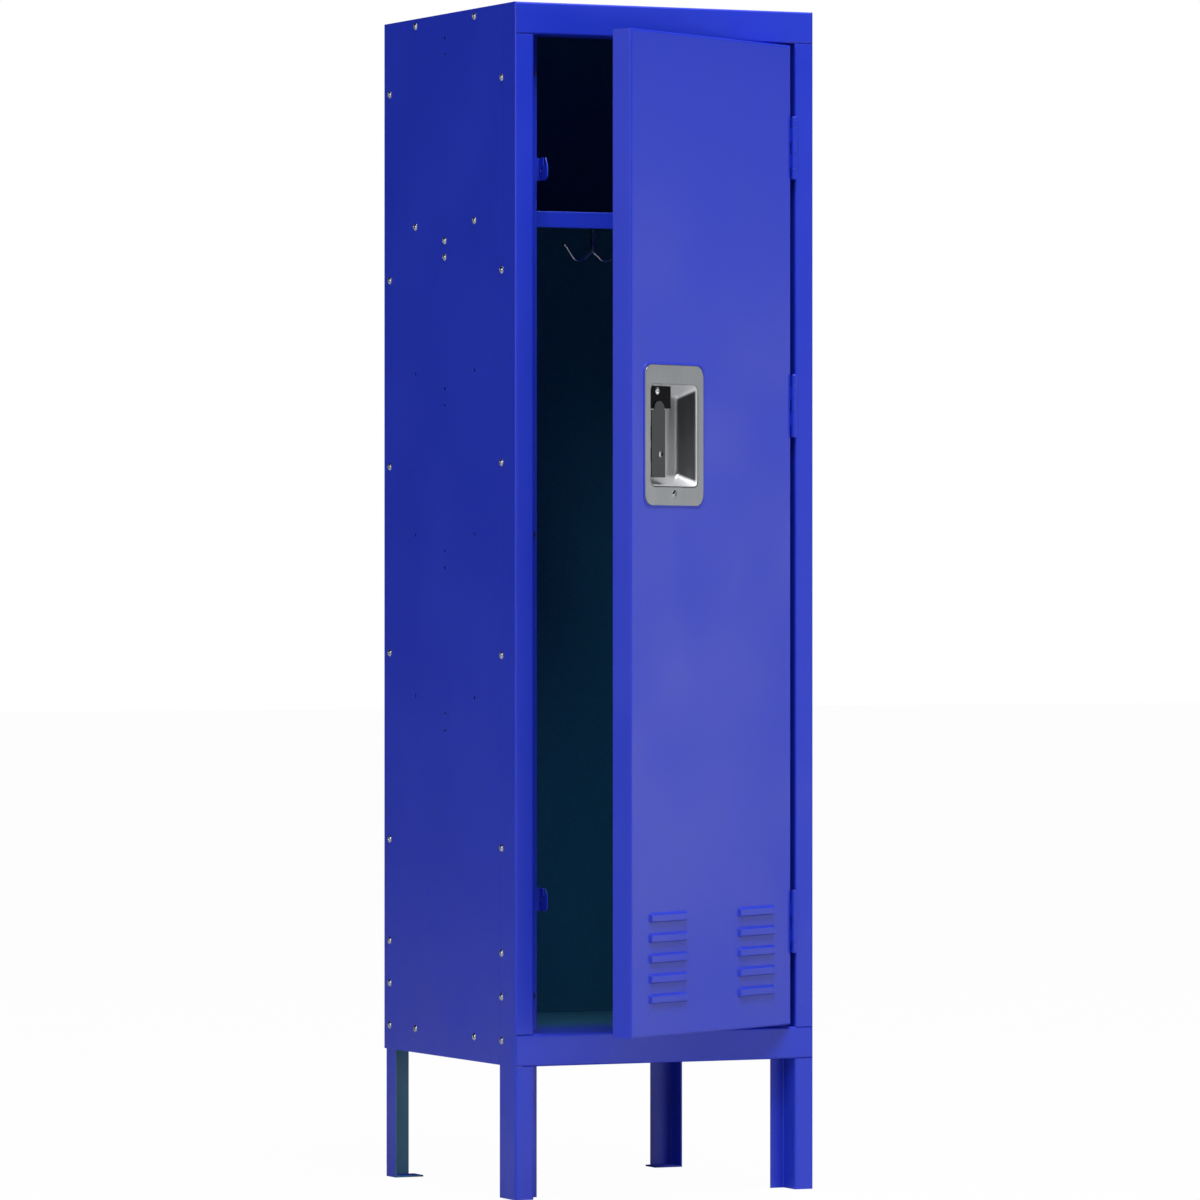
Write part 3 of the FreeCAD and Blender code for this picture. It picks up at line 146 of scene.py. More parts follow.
WORLD_STRENGTH = 0.04
PAPER_STRENGTH = 1.0
world = bpy.data.worlds.new("studio")
bpy.context.scene.world = world
world.use_nodes = True
sky = world.node_tree
sky.nodes.clear()
path = sky.nodes.new("ShaderNodeLightPath")
pick = sky.nodes.new("ShaderNodeMixShader")
world_out = sky.nodes.new("ShaderNodeOutputWorld")
sky.links.new(path.outputs["Is Camera Ray"], pick.inputs["Fac"])
for socket, strength in ((1, WORLD_STRENGTH), (2, PAPER_STRENGTH)):
    background = sky.nodes.new("ShaderNodeBackground")
    background.inputs["Color"].default_value = (1, 1, 1, 1)
    background.inputs["Strength"].default_value = strength
    sky.links.new(background.outputs[0], pick.inputs[socket])
sky.links.new(pick.outputs[0], world_out.inputs["Surface"])

FLOOR_HALF = 30.0
floor_mesh = bpy.data.meshes.new("floor")
floor_mesh.from_pydata(
    [(-FLOOR_HALF, -FLOOR_HALF, 0), (FLOOR_HALF, -FLOOR_HALF, 0),
     (FLOOR_HALF, FLOOR_HALF, 0), (-FLOOR_HALF, FLOOR_HALF, 0)], [], [(0, 1, 2, 3)])
floor = bpy.data.objects.new("floor", floor_mesh)
bpy.context.scene.collection.objects.link(floor)

# %% [markdown]
# ## Helpers for materials
# A material is a small graph. These helpers add a node and join it by name, so each
# finish below reads as a short list of what feeds what. Effects that several finishes
# share are node groups, built once and placed with each finish's own numbers. Most
# noise lies between the two values of TONE_SPAN, so tones are spread between these.

# %% Helpers for materials


def add(tree, kind, **settings):
    """A new node in tree. A setting is a property of the node, or a number for an input."""
    node = tree.nodes.new("ShaderNode" + kind)
    for name, value in settings.items():
        if name in node.bl_rna.properties:
            setattr(node, name, value)
        else:
            node.inputs[name.replace("_", " ")].default_value = value
    return node


def join(tree, source, output, target, socket):
    """Links source's output to target's socket, both given by name or number."""
    tree.links.new(source.outputs[output], target.inputs[socket])


def maths(tree, operation, *terms, clamp=False):
    """A Math node. Each term is a number, or a (node, output) pair."""
    node = add(tree, "Math", operation=operation, use_clamp=clamp)
    for place, term in enumerate(terms):
        if isinstance(term, tuple):
            join(tree, *term, node, place)
        else:
            node.inputs[place].default_value = term
    return node, 0


def ramp(tree, value, low, high, to_low=0.0, to_high=1.0):
    """A smooth step of value from to_low, below low, to to_high, above high."""
    node = add(tree, "MapRange", interpolation_type="SMOOTHSTEP")
    join(tree, *value, node, "Value")
    limits = {"From Min": low, "From Max": high, "To Min": to_low, "To Max": to_high}
    for name, number in limits.items():
        node.inputs[name].default_value = number
    return node, "Result"


def tint(tree, share, under, over):
    """A colour between under and over. Each is a colour, or a (node, output) pair."""
    node = add(tree, "Mix", data_type="RGBA")
    join(tree, *share, node, "Factor")
    for name, colour in (("A", under), ("B", over)):
        socket = next(i for i in node.inputs if i.name == name and i.type == "RGBA")
        if isinstance(colour[0], bpy.types.Node):
            tree.links.new(colour[0].outputs[colour[1]], socket)
        else:
            socket.default_value = (*colour, 1)
    return node, next(n for n, o in enumerate(node.outputs) if o.type == "RGBA")


def noise(tree, cell, detail, stretch=(1, 1, 1)):
    """Noise on object coordinates: blobs about cell metres wide, longer where stretch is small."""
    scale = add(tree, "Mapping")
    scale.inputs["Scale"].default_value = stretch
    pattern = add(tree, "TexNoise", Scale=1 / cell, Detail=detail)
    join(tree, add(tree, "TexCoord"), "Object", scale, "Vector")
    join(tree, scale, 0, pattern, "Vector")
    return pattern, 0


def parts_of(tree, name):
    """The X, Y and Z of a texture coordinate, such as Object or Normal."""
    split = add(tree, "SeparateXYZ")
    join(tree, add(tree, "TexCoord"), name, split, 0)
    return split


def along(tree, name, way):
    """How far a texture coordinate reaches along a way."""
    reach = add(tree, "VectorMath", operation="DOT_PRODUCT")
    join(tree, add(tree, "TexCoord"), name, reach, 0)
    reach.inputs[1].default_value = way
    return reach, "Value"


def group_named(name, inputs, outputs):
    """An empty node group with its two ends.

    inputs are name: number, or name: None for a vector. outputs are name: kind.
    """
    group = bpy.data.node_groups.new(name, "ShaderNodeTree")
    sockets = group.interface
    for title, number in inputs.items():
        if number is None:
            sockets.new_socket(name=title, in_out="INPUT", socket_type="NodeSocketVector")
        else:
            socket = sockets.new_socket(name=title, in_out="INPUT", socket_type="NodeSocketFloat")
            socket.default_value = number
    for title, kind in outputs.items():
        sockets.new_socket(name=title, in_out="OUTPUT", socket_type="NodeSocket" + kind)
    return group, group.nodes.new("NodeGroupInput"), group.nodes.new("NodeGroupOutput")


def bend_normal(group, start, distance, height, end):
    """Bends the group's Base Normal by a height and gives it out as Normal."""
    bump = add(group, "Bump", Strength=1.0)
    join(group, start, distance, bump, "Distance")
    join(group, *height, bump, "Height")
    join(group, start, "Base Normal", bump, "Normal")
    join(group, bump, 0, end, "Normal")


def placed(tree, group, **numbers):
    """The group as a node in a material, with its own numbers."""
    node = tree.nodes.new("ShaderNodeGroup")
    node.node_tree = group
    for name, number in numbers.items():
        node.inputs[name].default_value = number
    return node


def finish_named(name):
    """An empty material with a Principled shader, and its graph."""
    material = bpy.data.materials.new(name)
    material.use_nodes = True
    tree = material.node_tree
    return material, tree, tree.nodes["Principled BSDF"]


TONE_SPAN = (0.3, 0.7)
print("noise is spread over", TONE_SPAN)

# %% [markdown]
# ## Soft edges
# No folded sheet or pressed plate has a knife edge. The Bevel node looks at the
# surface within a small radius and turns the normal near an edge, so every edge
# catches a thin line of light. The same turn, measured against the plain normal,
# gives a mask of the edges. The blue coat is painted paler there, a painted highlight
# on top of its thinner film, and moulded parts are rubbed paler.

# %% Soft edges
EDGE_RADIUS = 0.8 * MM
SHARP_LEAN = 0.80
FLAT_LEAN = 0.985
soft_edges, start, end = group_named(
    "soft_edges", {"Radius": EDGE_RADIUS}, {"Normal": "Vector", "Edge": "Float"})
rounded = add(soft_edges, "Bevel", samples=3)
plain = add(soft_edges, "NewGeometry")
lean = add(soft_edges, "VectorMath", operation="DOT_PRODUCT")
join(soft_edges, start, "Radius", rounded, "Radius")
join(soft_edges, rounded, 0, lean, 0)
join(soft_edges, plain, "Normal", lean, 1)
join(soft_edges, rounded, 0, end, "Normal")
edge_mask = ramp(soft_edges, (lean, "Value"), SHARP_LEAN, FLAT_LEAN, 1.0, 0.0)
join(soft_edges, *edge_mask, end, "Edge")
print("group:", soft_edges.name)

# %% [markdown]
# ## Orange peel
# Powder coat is dry paint that is baked until it flows. It never flows quite flat:
# it keeps low, round waves a millimetre or two across, like the skin of an orange,
# and a finer grain on top. The group bends a normal by both waves, and gives out the
# slow cloud that makes large panels a little uneven in gloss.

# %% Orange peel
WAVE_SIZE = 2.2 * MM
GRAIN_SIZE = 0.6 * MM
GRAIN_SHARE = 0.35
CLOUD_SIZE = 160 * MM
SPECK_SPAN = (0.35, 0.65)
orange_peel, start, end = group_named(
    "orange_peel", {"Height": 0.02 * MM, "Base Normal": None},
    {"Normal": "Vector", "Cloud": "Float", "Speck": "Float"})
waves = noise(orange_peel, WAVE_SIZE, 1.0)
grain = noise(orange_peel, GRAIN_SIZE, 1.0)
skin_height = maths(orange_peel, "ADD", waves, maths(orange_peel, "MULTIPLY", grain, GRAIN_SHARE))
bend_normal(orange_peel, start, "Height", skin_height, end)
join(orange_peel, *noise(orange_peel, CLOUD_SIZE, 3.0), end, "Cloud")
join(orange_peel, *ramp(orange_peel, grain, *SPECK_SPAN), end, "Speck")
print("group:", orange_peel.name)

# %% [markdown]
# ## Painted shade inside
# Little light reaches into the deep box, so the inside is given a painted shade:
# its coat is made darker and greener. The mask is 1 on faces that lie inside the
# cabinet's walls or look in towards its middle, and grows with the depth. The inner
# faces of the rear left leg, which look away from the lamps, get the same painted
# shade.

# %% Painted shade inside
SHADE_START = -0.145
SHADE_END = 0.02
PANEL_SKIN = 1.7 * MM
BACK_SKIN = 1.4 * MM
ROOF_SKIN = 0.5 * MM
HAIR = 0.3 * MM
LOOKS_IN = -0.1
floor_low, floor_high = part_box("bottom_panel")
painted_shade_inside, start, end = group_named("painted_shade_inside", {"Wall": PANEL_SKIN}, {"Mask": "Float"})
split = parts_of(painted_shade_inside, "Object")
tilt = parts_of(painted_shade_inside, "Normal")


def limited(operation, term, limit):
    """1 where the term is less or greater than the limit, else 0."""
    return maths(painted_shade_inside, operation, term, limit)


outgoing = maths(painted_shade_inside, "ADD",
                 maths(painted_shade_inside, "MULTIPLY", (split, "X"), (tilt, "X")),
                 maths(painted_shade_inside, "MULTIPLY", (split, "Y"), (tilt, "Y")))
looks_in = limited("LESS_THAN", outgoing, LOOKS_IN)
across = maths(painted_shade_inside, "ABSOLUTE", (split, "X"))
wall = maths(painted_shade_inside, "SUBTRACT", WIDTH / 2, (start, "Wall"))
walled = maths(painted_shade_inside, "MAXIMUM", limited("LESS_THAN", across, wall), looks_in)
mask = ramp(painted_shade_inside, (split, "Y"), SHADE_START, SHADE_END)
for share in (walled,
              limited("LESS_THAN", (split, "Y"), DEPTH / 2 - BACK_SKIN),
              limited("GREATER_THAN", (split, "Z"), floor_high.z - HAIR),
              limited("LESS_THAN", (split, "Z"), HEIGHT - ROOF_SKIN)):
    mask = maths(painted_shade_inside, "MULTIPLY", mask, share)
leg = looks_in
for share in (limited("LESS_THAN", (split, "Z"), floor_low.z - HAIR),
              limited("LESS_THAN", (split, "X"), 0.0),
              limited("GREATER_THAN", (split, "Y"), 0.0)):
    leg = maths(painted_shade_inside, "MULTIPLY", leg, share)
join(painted_shade_inside, *maths(painted_shade_inside, "MAXIMUM", mask, leg), end, "Mask")
print("group:", painted_shade_inside.name)

# %% [markdown]
# ## Dust, brushing, plating and moulding
# Dust settles on faces that look up. Brushed steel has long fine scratches in one
# direction. Zinc and nickel plating show a faint mottling of crystals. Moulded
# plastic copies the eroded texture of its mould. Each is one small group.

# %% Dust, brushing, plating and moulding
DUST_SLOPE = (0.6, 0.98)
DUST_SPAN = (0.20, 0.85)
DUST_SIZE = 12 * MM
dust, start, end = group_named("dust", {"Amount": 0.3}, {"Mask": "Float"})
upward = ramp(dust, (parts_of(dust, "Normal"), "Z"), *DUST_SLOPE)
patches = ramp(dust, noise(dust, DUST_SIZE, 6.0), *DUST_SPAN)
settled = maths(dust, "MULTIPLY", upward, patches)
join(dust, *maths(dust, "MULTIPLY", settled, (start, "Amount")), end, "Mask")

SCRATCH_SIZE = 0.4 * MM
SCRATCH_STRETCH = (1.0, 1.0, 0.012)
BAND_SIZE = 9 * MM
BAND_STRETCH = (1.0, 1.0, 0.15)
MAIN_SHARE = 0.6
brushed, start, end = group_named(
    "brushed", {"Depth": 0.01 * MM, "Base Normal": None}, {"Normal": "Vector", "Tone": "Float"})
scratches = noise(brushed, SCRATCH_SIZE, 3.0, SCRATCH_STRETCH)
bands = noise(brushed, BAND_SIZE, 2.0, BAND_STRETCH)
bend_normal(brushed, start, "Depth", scratches, end)
tone = maths(brushed, "ADD", maths(brushed, "MULTIPLY", scratches, MAIN_SHARE),
             maths(brushed, "MULTIPLY", bands, 1 - MAIN_SHARE))
join(brushed, *tone, end, "Tone")

FILM_SIZE = 20 * MM
plating, start, end = group_named("plating", {"Crystal": 4 * MM}, {"Tone": "Float"})
cells = add(plating, "TexVoronoi", feature="F1")
join(plating, add(plating, "TexCoord"), "Object", cells, "Vector")
join(plating, *maths(plating, "DIVIDE", 1.0, (start, "Crystal")), cells, "Scale")
grey = add(plating, "RGBToBW")
join(plating, cells, "Color", grey, 0)
tone = maths(plating, "ADD",
             maths(plating, "MULTIPLY", noise(plating, FILM_SIZE, 3.0), MAIN_SHARE),
             maths(plating, "MULTIPLY", (grey, 0), 1 - MAIN_SHARE))
join(plating, *tone, end, "Tone")

PIT_SIZE = 0.5 * MM
moulded, start, end = group_named(
    "moulded", {"Height": 0.03 * MM, "Base Normal": None}, {"Normal": "Vector", "Tone": "Float"})
erosion = noise(moulded, PIT_SIZE, 3.0)
bend_normal(moulded, start, "Height", erosion, end)
join(moulded, *erosion, end, "Tone")
print("groups:", sorted(g.name for g in bpy.data.node_groups))

# %% [markdown]
# ## Floor paper
# The floor and the backdrop are white studio paper. It glows a little where the
# camera sees it, so that the paper stays white and only a faint shadow is left
# under the feet.

# %% Floor paper
PAPER_GREY = 0.55
PAPER_MATT = 0.8
GLOW_SHARE = 0.98
floor_paper, tree, shader = finish_named("floor_paper")
shader.inputs["Base Color"].default_value = (PAPER_GREY, PAPER_GREY, PAPER_GREY, 1)
shader.inputs["Roughness"].default_value = PAPER_MATT
glow = add(tree, "Emission")
seen_by_camera = add(tree, "LightPath")
white_share = maths(tree, "MULTIPLY", (seen_by_camera, "Is Camera Ray"), GLOW_SHARE)
paper = add(tree, "MixShader")
join(tree, *white_share, paper, "Fac")
join(tree, shader, 0, paper, 1)
join(tree, glow, 0, paper, 2)
join(tree, paper, 0, tree.nodes["Material Output"], "Surface")
floor.data.materials.append(floor_paper)
print("floor finished")

# %% [markdown]
# ## Blue powder coat
# All the sheet steel has the same deep blue powder coat. It is an opaque paint
# with a soft gloss, so it is a plain dielectric shader: the colour is a strong blue
# that is paler on every edge, a painted highlight on top of the thinner film there,
# teal and darker inside as a painted shade, and dulled by dust on top. Gloss wanders
# slowly with the cloud.

# %% Blue powder coat
BLUE = (0.008, 0.028, 0.50)
BLUE_LIGHT = (0.012, 0.036, 0.56)
BLUE_EDGE_HIGHLIGHT = (0.045, 0.085, 0.68)
# Painted shade inside the cabinet: darker and teal.
SHADE_TEAL_INSIDE = (0.025, 0.19, 0.34)
SHADE_SPECK_INSIDE = (0.012, 0.11, 0.20)
DUST_GREY = (0.42, 0.42, 0.43)
COAT_GLOSS = (0.36, 0.44)
COAT_EDGE = 0.9 * MM
PEEL_HEIGHT = 0.012 * MM
EDGE_WEAR_AND_HIGHLIGHT = 0.35
DUST_AMOUNT = 0.07

blue_powder, tree, shader = finish_named("blue_powder_coat")
edges = placed(tree, soft_edges, Radius=COAT_EDGE)
peel = placed(tree, orange_peel, Height=PEEL_HEIGHT)
inside_shade = placed(tree, painted_shade_inside)
fallen = placed(tree, dust, Amount=DUST_AMOUNT)
join(tree, edges, "Normal", peel, "Base Normal")
join(tree, peel, "Normal", shader, "Normal")
outer = tint(tree, (peel, "Cloud"), BLUE, BLUE_LIGHT)
# Every edge is painted paler: a painted highlight, with the thinner film there.
edge_wear_and_highlight = maths(tree, "MULTIPLY", (edges, "Edge"), EDGE_WEAR_AND_HIGHLIGHT)
outer = tint(tree, edge_wear_and_highlight, outer, BLUE_EDGE_HIGHLIGHT)
# Inside the cabinet the colour is a painted shade, darker and teal, where little light reaches.
inner = tint(tree, (peel, "Speck"), SHADE_SPECK_INSIDE, SHADE_TEAL_INSIDE)
coat = tint(tree, (inside_shade, "Mask"), outer, inner)
coat = tint(tree, (fallen, "Mask"), coat, DUST_GREY)
join(tree, *coat, shader, "Base Color")
gloss = ramp(tree, (peel, "Cloud"), *TONE_SPAN, *COAT_GLOSS)
dulled = maths(tree, "ADD", gloss, (fallen, "Mask"), clamp=True)
join(tree, *dulled, shader, "Roughness")
print("finish:", blue_powder.name)

# %% [markdown]
# ## Bare and plated metals
# The handle is brushed stainless steel, the screws, the nuts and the latch block's
# rivet are bright zinc, the coat hooks are nickelled wire, and the lock bar is dull
# galvanised strip. They are all a metallic shader, and differ in colour, gloss and
# grain, so one function builds them.

# %% Bare and plated metals
METAL_EDGE = 0.5 * MM


def metal(name, dark, light, smooth, rough, scored=None, crystal=4 * MM):
    """A metal between two colours and two roughnesses.

    It is brushed along Z to the depth scored, or else mottled by crystals of plating.
    """
    material, tree, shader = finish_named(name)
    shader.inputs["Metallic"].default_value = 1.0
    edges = placed(tree, soft_edges, Radius=METAL_EDGE)
    if scored:
        surface = placed(tree, brushed, Depth=scored)
        join(tree, edges, "Normal", surface, "Base Normal")
        join(tree, surface, "Normal", shader, "Normal")
    else:
        surface = placed(tree, plating, Crystal=crystal)
        join(tree, edges, "Normal", shader, "Normal")
    share = ramp(tree, (surface, "Tone"), *TONE_SPAN)
    join(tree, *tint(tree, share, dark, light), shader, "Base Color")
    join(tree, *ramp(tree, (surface, "Tone"), *TONE_SPAN, smooth, rough), shader, "Roughness")
    return material


handle_steel = metal("brushed_stainless", (0.20, 0.21, 0.22), (0.26, 0.27, 0.28),
                     smooth=0.30, rough=0.42, scored=0.004 * MM)
fastener_steel = metal("bright_zinc", (0.36, 0.37, 0.40), (0.50, 0.51, 0.54),
                       smooth=0.16, rough=0.28)
hook_steel = metal("nickelled_wire", (0.58, 0.57, 0.54), (0.74, 0.73, 0.70),
                   smooth=0.12, rough=0.22)
zinc_bar = metal("galvanised_strip", (0.40, 0.41, 0.42), (0.56, 0.57, 0.58),
                 smooth=0.30, rough=0.46, crystal=7 * MM)
print("metals:", [m.name for m in (handle_steel, fastener_steel, hook_steel, zinc_bar)])

# %% [markdown]
# ## The drawn pocket
# The handle's pocket is drawn from the same sheet as its plate. The rim and the
# sloping ends, and the floor to a lesser degree, get a painted reflection of the pale
# paper, while the hinge-side wall keeps the plain brushed steel. The finish finds these
# places from the depth behind the door's face and from the way that the surface faces,
# and makes them paler and less metallic. The lower slope faces up, away from the
# paper, so its painted reflection is greyer than the upper.

# %% The drawn pocket
PLATE_DEPTH = 0.6 * MM
POCKET_DEPTH = 3.0 * MM
PALE_REFLECTION = (0.88, 0.89, 0.90)
LOWER_SLOPE_REFLECTION = (0.50, 0.51, 0.52)
FLOOR_SHARE = 0.55
REFLECTION_MATT = 0.6
SLOPE_SPAN = (0.2, 0.5)
FLOOR_SPAN = (0.80, 0.97)

tree = handle_steel.node_tree
shader = tree.nodes["Principled BSDF"]
depth = maths(tree, "ADD", along(tree, "Object", INWARD), door_face)
tilt = (parts_of(tree, "Normal"), "Z")
ends = ramp(tree, maths(tree, "ABSOLUTE", tilt), *SLOPE_SPAN)
level = ramp(tree, along(tree, "Normal", OUTWARD), *FLOOR_SPAN, 0.0, FLOOR_SHARE)
inner = maths(tree, "MULTIPLY", maths(tree, "ADD", ends, level),
              ramp(tree, depth, PLATE_DEPTH, POCKET_DEPTH))
past_plate = ramp(tree, depth, -PLATE_DEPTH, 0.0)
rim = maths(tree, "MULTIPLY", past_plate, ramp(tree, depth, PLATE_DEPTH, POCKET_DEPTH, 1.0, 0.0))
# Painted reflection: the rim, the sloping ends and the floor are made paler and less metallic.
painted_reflection = maths(tree, "ADD", inner, rim, clamp=True)
worked = shader.inputs["Base Color"].links[0]
plain_steel = (worked.from_node, list(worked.from_node.outputs).index(worked.from_socket))
# The lower slope, which faces up, gets a greyer painted reflection than the rest.
reflection_tone = tint(tree, ramp(tree, tilt, *SLOPE_SPAN), PALE_REFLECTION, LOWER_SLOPE_REFLECTION)
join(tree, *tint(tree, painted_reflection, plain_steel, reflection_tone), shader, "Base Color")
matt = maths(tree, "MULTIPLY", painted_reflection, REFLECTION_MATT)
join(tree, *maths(tree, "SUBTRACT", 1.0, matt), shader, "Metallic")
print("finish:", handle_steel.name, "pocket from", POCKET_DEPTH)

# %% [markdown]
# ## Lever, latch block and bumpers
# The lift lever is painted dark grey, the latch block and the bar's guides are black
# moulded plastic, and the door's stops are soft black rubber. They are dielectrics
# with a moulded grain, rubbed a little paler along their edges.

# %% Lever, latch block and bumpers
MOULD_EDGE = 0.6 * MM
RUBBED_SHARE = 0.5


def moulding(name, dark, light, edge_colour, smooth, rough, height, shine):
    """A moulded or painted part: two tones of grain, paler edges and a fine bump."""
    material, tree, shader = finish_named(name)
    shader.inputs["Specular IOR Level"].default_value = shine
    edges = placed(tree, soft_edges, Radius=MOULD_EDGE)
    surface = placed(tree, moulded, Height=height)
    join(tree, edges, "Normal", surface, "Base Normal")
    join(tree, surface, "Normal", shader, "Normal")
    body = tint(tree, ramp(tree, (surface, "Tone"), *TONE_SPAN), dark, light)
    rubbed = maths(tree, "MULTIPLY", (edges, "Edge"), RUBBED_SHARE)
    join(tree, *tint(tree, rubbed, body, edge_colour), shader, "Base Color")
    join(tree, *ramp(tree, (surface, "Tone"), *TONE_SPAN, smooth, rough), shader, "Roughness")
    return material


lever_grey = moulding("lever_paint", (0.020, 0.023, 0.026), (0.032, 0.036, 0.039),
                      (0.12, 0.13, 0.13), smooth=0.32, rough=0.46, height=0.010 * MM, shine=0.3)
black_plastic = moulding("black_nylon", (0.002, 0.002, 0.003), (0.005, 0.005, 0.006),
                         (0.02, 0.02, 0.02), smooth=0.46, rough=0.62, height=0.025 * MM,
                         shine=0.08)
bumper_rubber = moulding("black_rubber", (0.010, 0.010, 0.010), (0.020, 0.020, 0.020),
                         (0.04, 0.04, 0.04), smooth=0.70, rough=0.85, height=0.030 * MM,
                         shine=0.3)
FINISHES = {"blue_powder": blue_powder, "handle_steel": handle_steel,
            "fastener_steel": fastener_steel, "hook_steel": hook_steel, "zinc_bar": zinc_bar,
            "lever_grey": lever_grey, "black_plastic": black_plastic,
            "bumper_rubber": bumper_rubber}
slot_of = {}
for name, node in nodes.items():
    slot_of[name] = node.material_slots[0].material.name
    node.material_slots[0].material = FINISHES[slot_of[name]]
print("finished nodes:", len(slot_of))

# %% [markdown]
# ## From points to pieces
# Every new piece is a surface of points in rows and columns: the rows run along a
# profile and the columns go round it. `skin` turns one such grid, or many copies of
# it, into a mesh: four neighbours make a face, the last column meets the first, and
# rows that shrink to a point are merged, so that the poles are closed.

# %% From points to pieces
SHARP_ANGLE = math.radians(40)
CROWN_BAND = 0.02 * MM


def skin(name, sheets, slot, body, *replaced):
    """One piece from closed grids of points, of the shape (copies, rows, columns, 3).

    Points (r, c), (r, c + 1), (r + 1, c + 1) and (r + 1, c) of a copy make a face, where
    c + 1 wraps round. Points that lie on each other are merged and the faces turned out.
    """
    copies, rows, columns = sheets.shape[:3]
    index = np.arange(copies * rows * columns).reshape(copies, rows, columns)
    near, far = index[:, :-1], index[:, 1:]
    faces = np.stack([near, np.roll(near, -1, 2), np.roll(far, -1, 2), far], -1).reshape(-1, 4)
    mesh = bpy.data.meshes.new(name)
    mesh.from_pydata(sheets.reshape(-1, 3), [], faces)
    shaped = bmesh.new()
    shaped.from_mesh(mesh)
    bmesh.ops.remove_doubles(shaped, verts=shaped.verts, dist=MERGE)
    bmesh.ops.dissolve_degenerate(shaped, edges=shaped.edges, dist=MERGE)
    bmesh.ops.recalc_face_normals(shaped, faces=shaped.faces)
    shaped.to_mesh(mesh)
    shaped.free()
    mesh.shade_smooth()
    mesh.set_sharp_from_angle(angle=SHARP_ANGLE)
    joined(bpy.data.objects.new(name, mesh), slot, body, *replaced)


def joined(piece, slot, body, *replaced):
    """Puts a piece in the scene with its finish, on its body, in place of CAD nodes."""
    bpy.context.scene.collection.objects.link(piece)
    piece.data.materials.clear()
    piece.data.materials.append(FINISHES[slot])
    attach(piece, body)
    if replaced:
        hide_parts(*replaced)
    print(piece.name, "faces:", len(piece.data.polygons), "for", replaced)
    return piece


def turned(radii, heights, columns):
    """A profile turned about Z: x = r cos a, y = r sin a, z = h, for columns angles a."""
    angle = np.arange(columns) * 2 * math.pi / columns
    r, h = np.array(radii, float)[:, None], np.array(heights, float)[:, None]
    return np.stack([r * np.cos(angle), r * np.sin(angle), h + 0 * angle], -1)


def set_along(sheet, places, way):
    """Copies a sheet so that its Z points along way and its origin is at each of places."""
    out = np.array(way, float) / np.linalg.norm(way)
    side = np.cross((0, 0, 1), out)
    side = side / np.linalg.norm(side)
    frame_of = np.stack([side, np.cross(out, side), out])
    return sheet[None] @ frame_of + np.array(places, float)[:, None, None, :]


def corners_of(node):
    """All points of a CAD node, as an array."""
    points = np.empty(len(nodes[node].data.vertices) * 3)
    nodes[node].data.vertices.foreach_get("co", points)
    return points.reshape(-1, 3)


def crowns(node, way):
    """The points of a node that reach furthest along way, once each."""
    points = corners_of(node)
    reach = points @ np.array(way, float)
    top = points[reach > reach.max() - CROWN_BAND]
    return top[np.unique(np.round(top / MM), axis=0, return_index=True)[1]]


print("crowns of the left screws:", len(crowns("left_side_screws", (-1, 0, 0))))

# %% [markdown]
# ## Side screws
# The panels are held to the posts by domed machine screws with a cross recess. The
# head is a cap of a ball: at radius r its height is the ball's height there. The
# driver's cross is pressed into it, where a point is near either of two crossed
# bars, and gets shallower towards the bars' ends. The shank ends in a small bevel.

# %% Side screws
HEAD_RADIUS = 4.6 * MM
HEAD_HEIGHT = 2.6 * MM
SHANK_RADIUS = 2.0 * MM
SHANK_LENGTH = 8.5 * MM
SCREW_COLUMNS = 40
CROSS_HALF_WIDTH = 0.42 * MM
CROSS_REACH = 2.3 * MM
CROSS_DEPTH = 1.5 * MM
CROSS_WALL = 0.5
CROSS_FADE = 1.6
CROSS_RINGS = 10
RIM_RINGS = 6
TIP_RADIUS = 0.8
TIP_LENGTH = 0.06


def screw_sheet(head_radius, head_height, length):
    """A domed screw: height = sqrt(b^2 - r^2) - sink, less the depth of the cross.

    The cross is deepest on the axis and is cut where |x| or |y| is under the bars' half
    width. Its walls slope over CROSS_WALL of that, and it fades out at the bars' ends.
    """
    ball = (head_radius ** 2 + head_height ** 2) / (2 * head_height)
    rings = np.concatenate([np.linspace(0, CROSS_REACH, CROSS_RINGS),
                            np.linspace(CROSS_REACH, head_radius, RIM_RINGS)[1:]])
    dome = np.sqrt(ball ** 2 - rings ** 2) - (ball - head_height)
    sheet = turned(
        [*rings, SHANK_RADIUS, SHANK_RADIUS, TIP_RADIUS * SHANK_RADIUS, 0],
        [*dome, 0, TIP_LENGTH * length - length, -length, -length], SCREW_COLUMNS)
    x, y = np.abs(sheet[:len(rings), :, 0]), np.abs(sheet[:len(rings), :, 1])
    room = CROSS_HALF_WIDTH * (1 + CROSS_WALL) - np.minimum(x, y)
    bar = np.clip(room / (CROSS_HALF_WIDTH * CROSS_WALL), 0, 1)
    fade = np.clip(CROSS_FADE * (1 - np.maximum(x, y) / CROSS_REACH), 0, 1)
    sheet[:len(rings), :, 2] -= CROSS_DEPTH * bar * fade
    return sheet


screw = screw_sheet(HEAD_RADIUS, HEAD_HEIGHT, SHANK_LENGTH)
for hand, way in (("left", -1), ("right", 1)):
    crown = crowns(f"{hand}_side_screws", (way, 0, 0))
    crown[:, 0] = way * WIDTH / 2
    skin(f"{hand}_screws", set_along(screw, crown, (way, 0, 0)), "fastener_steel", "cabinet",
         f"{hand}_side_screws")

# %% [markdown]
# ## Nuts
# Inside, each screw ends in a hexagon nut. Seen along its axis a nut's outline is at
# the radius apothem / cos(a), where a is the angle to the nearest flat's middle; the
# corners of both faces are turned off by a circle, which gives the curved bevels.

# %% Nuts
NUT_CORNER = 4.0 * MM
NUT_HEIGHT = 3.0 * MM
NUT_COLUMNS = 48
NUT_BEVEL = 0.45 * MM
NUT_REACH = 5.0 * MM
BORE_ROOM = 1.03
LEAD_ROOM = 1.25
FACE_SHARE = 0.97
FACE_STEP = 0.05 * MM


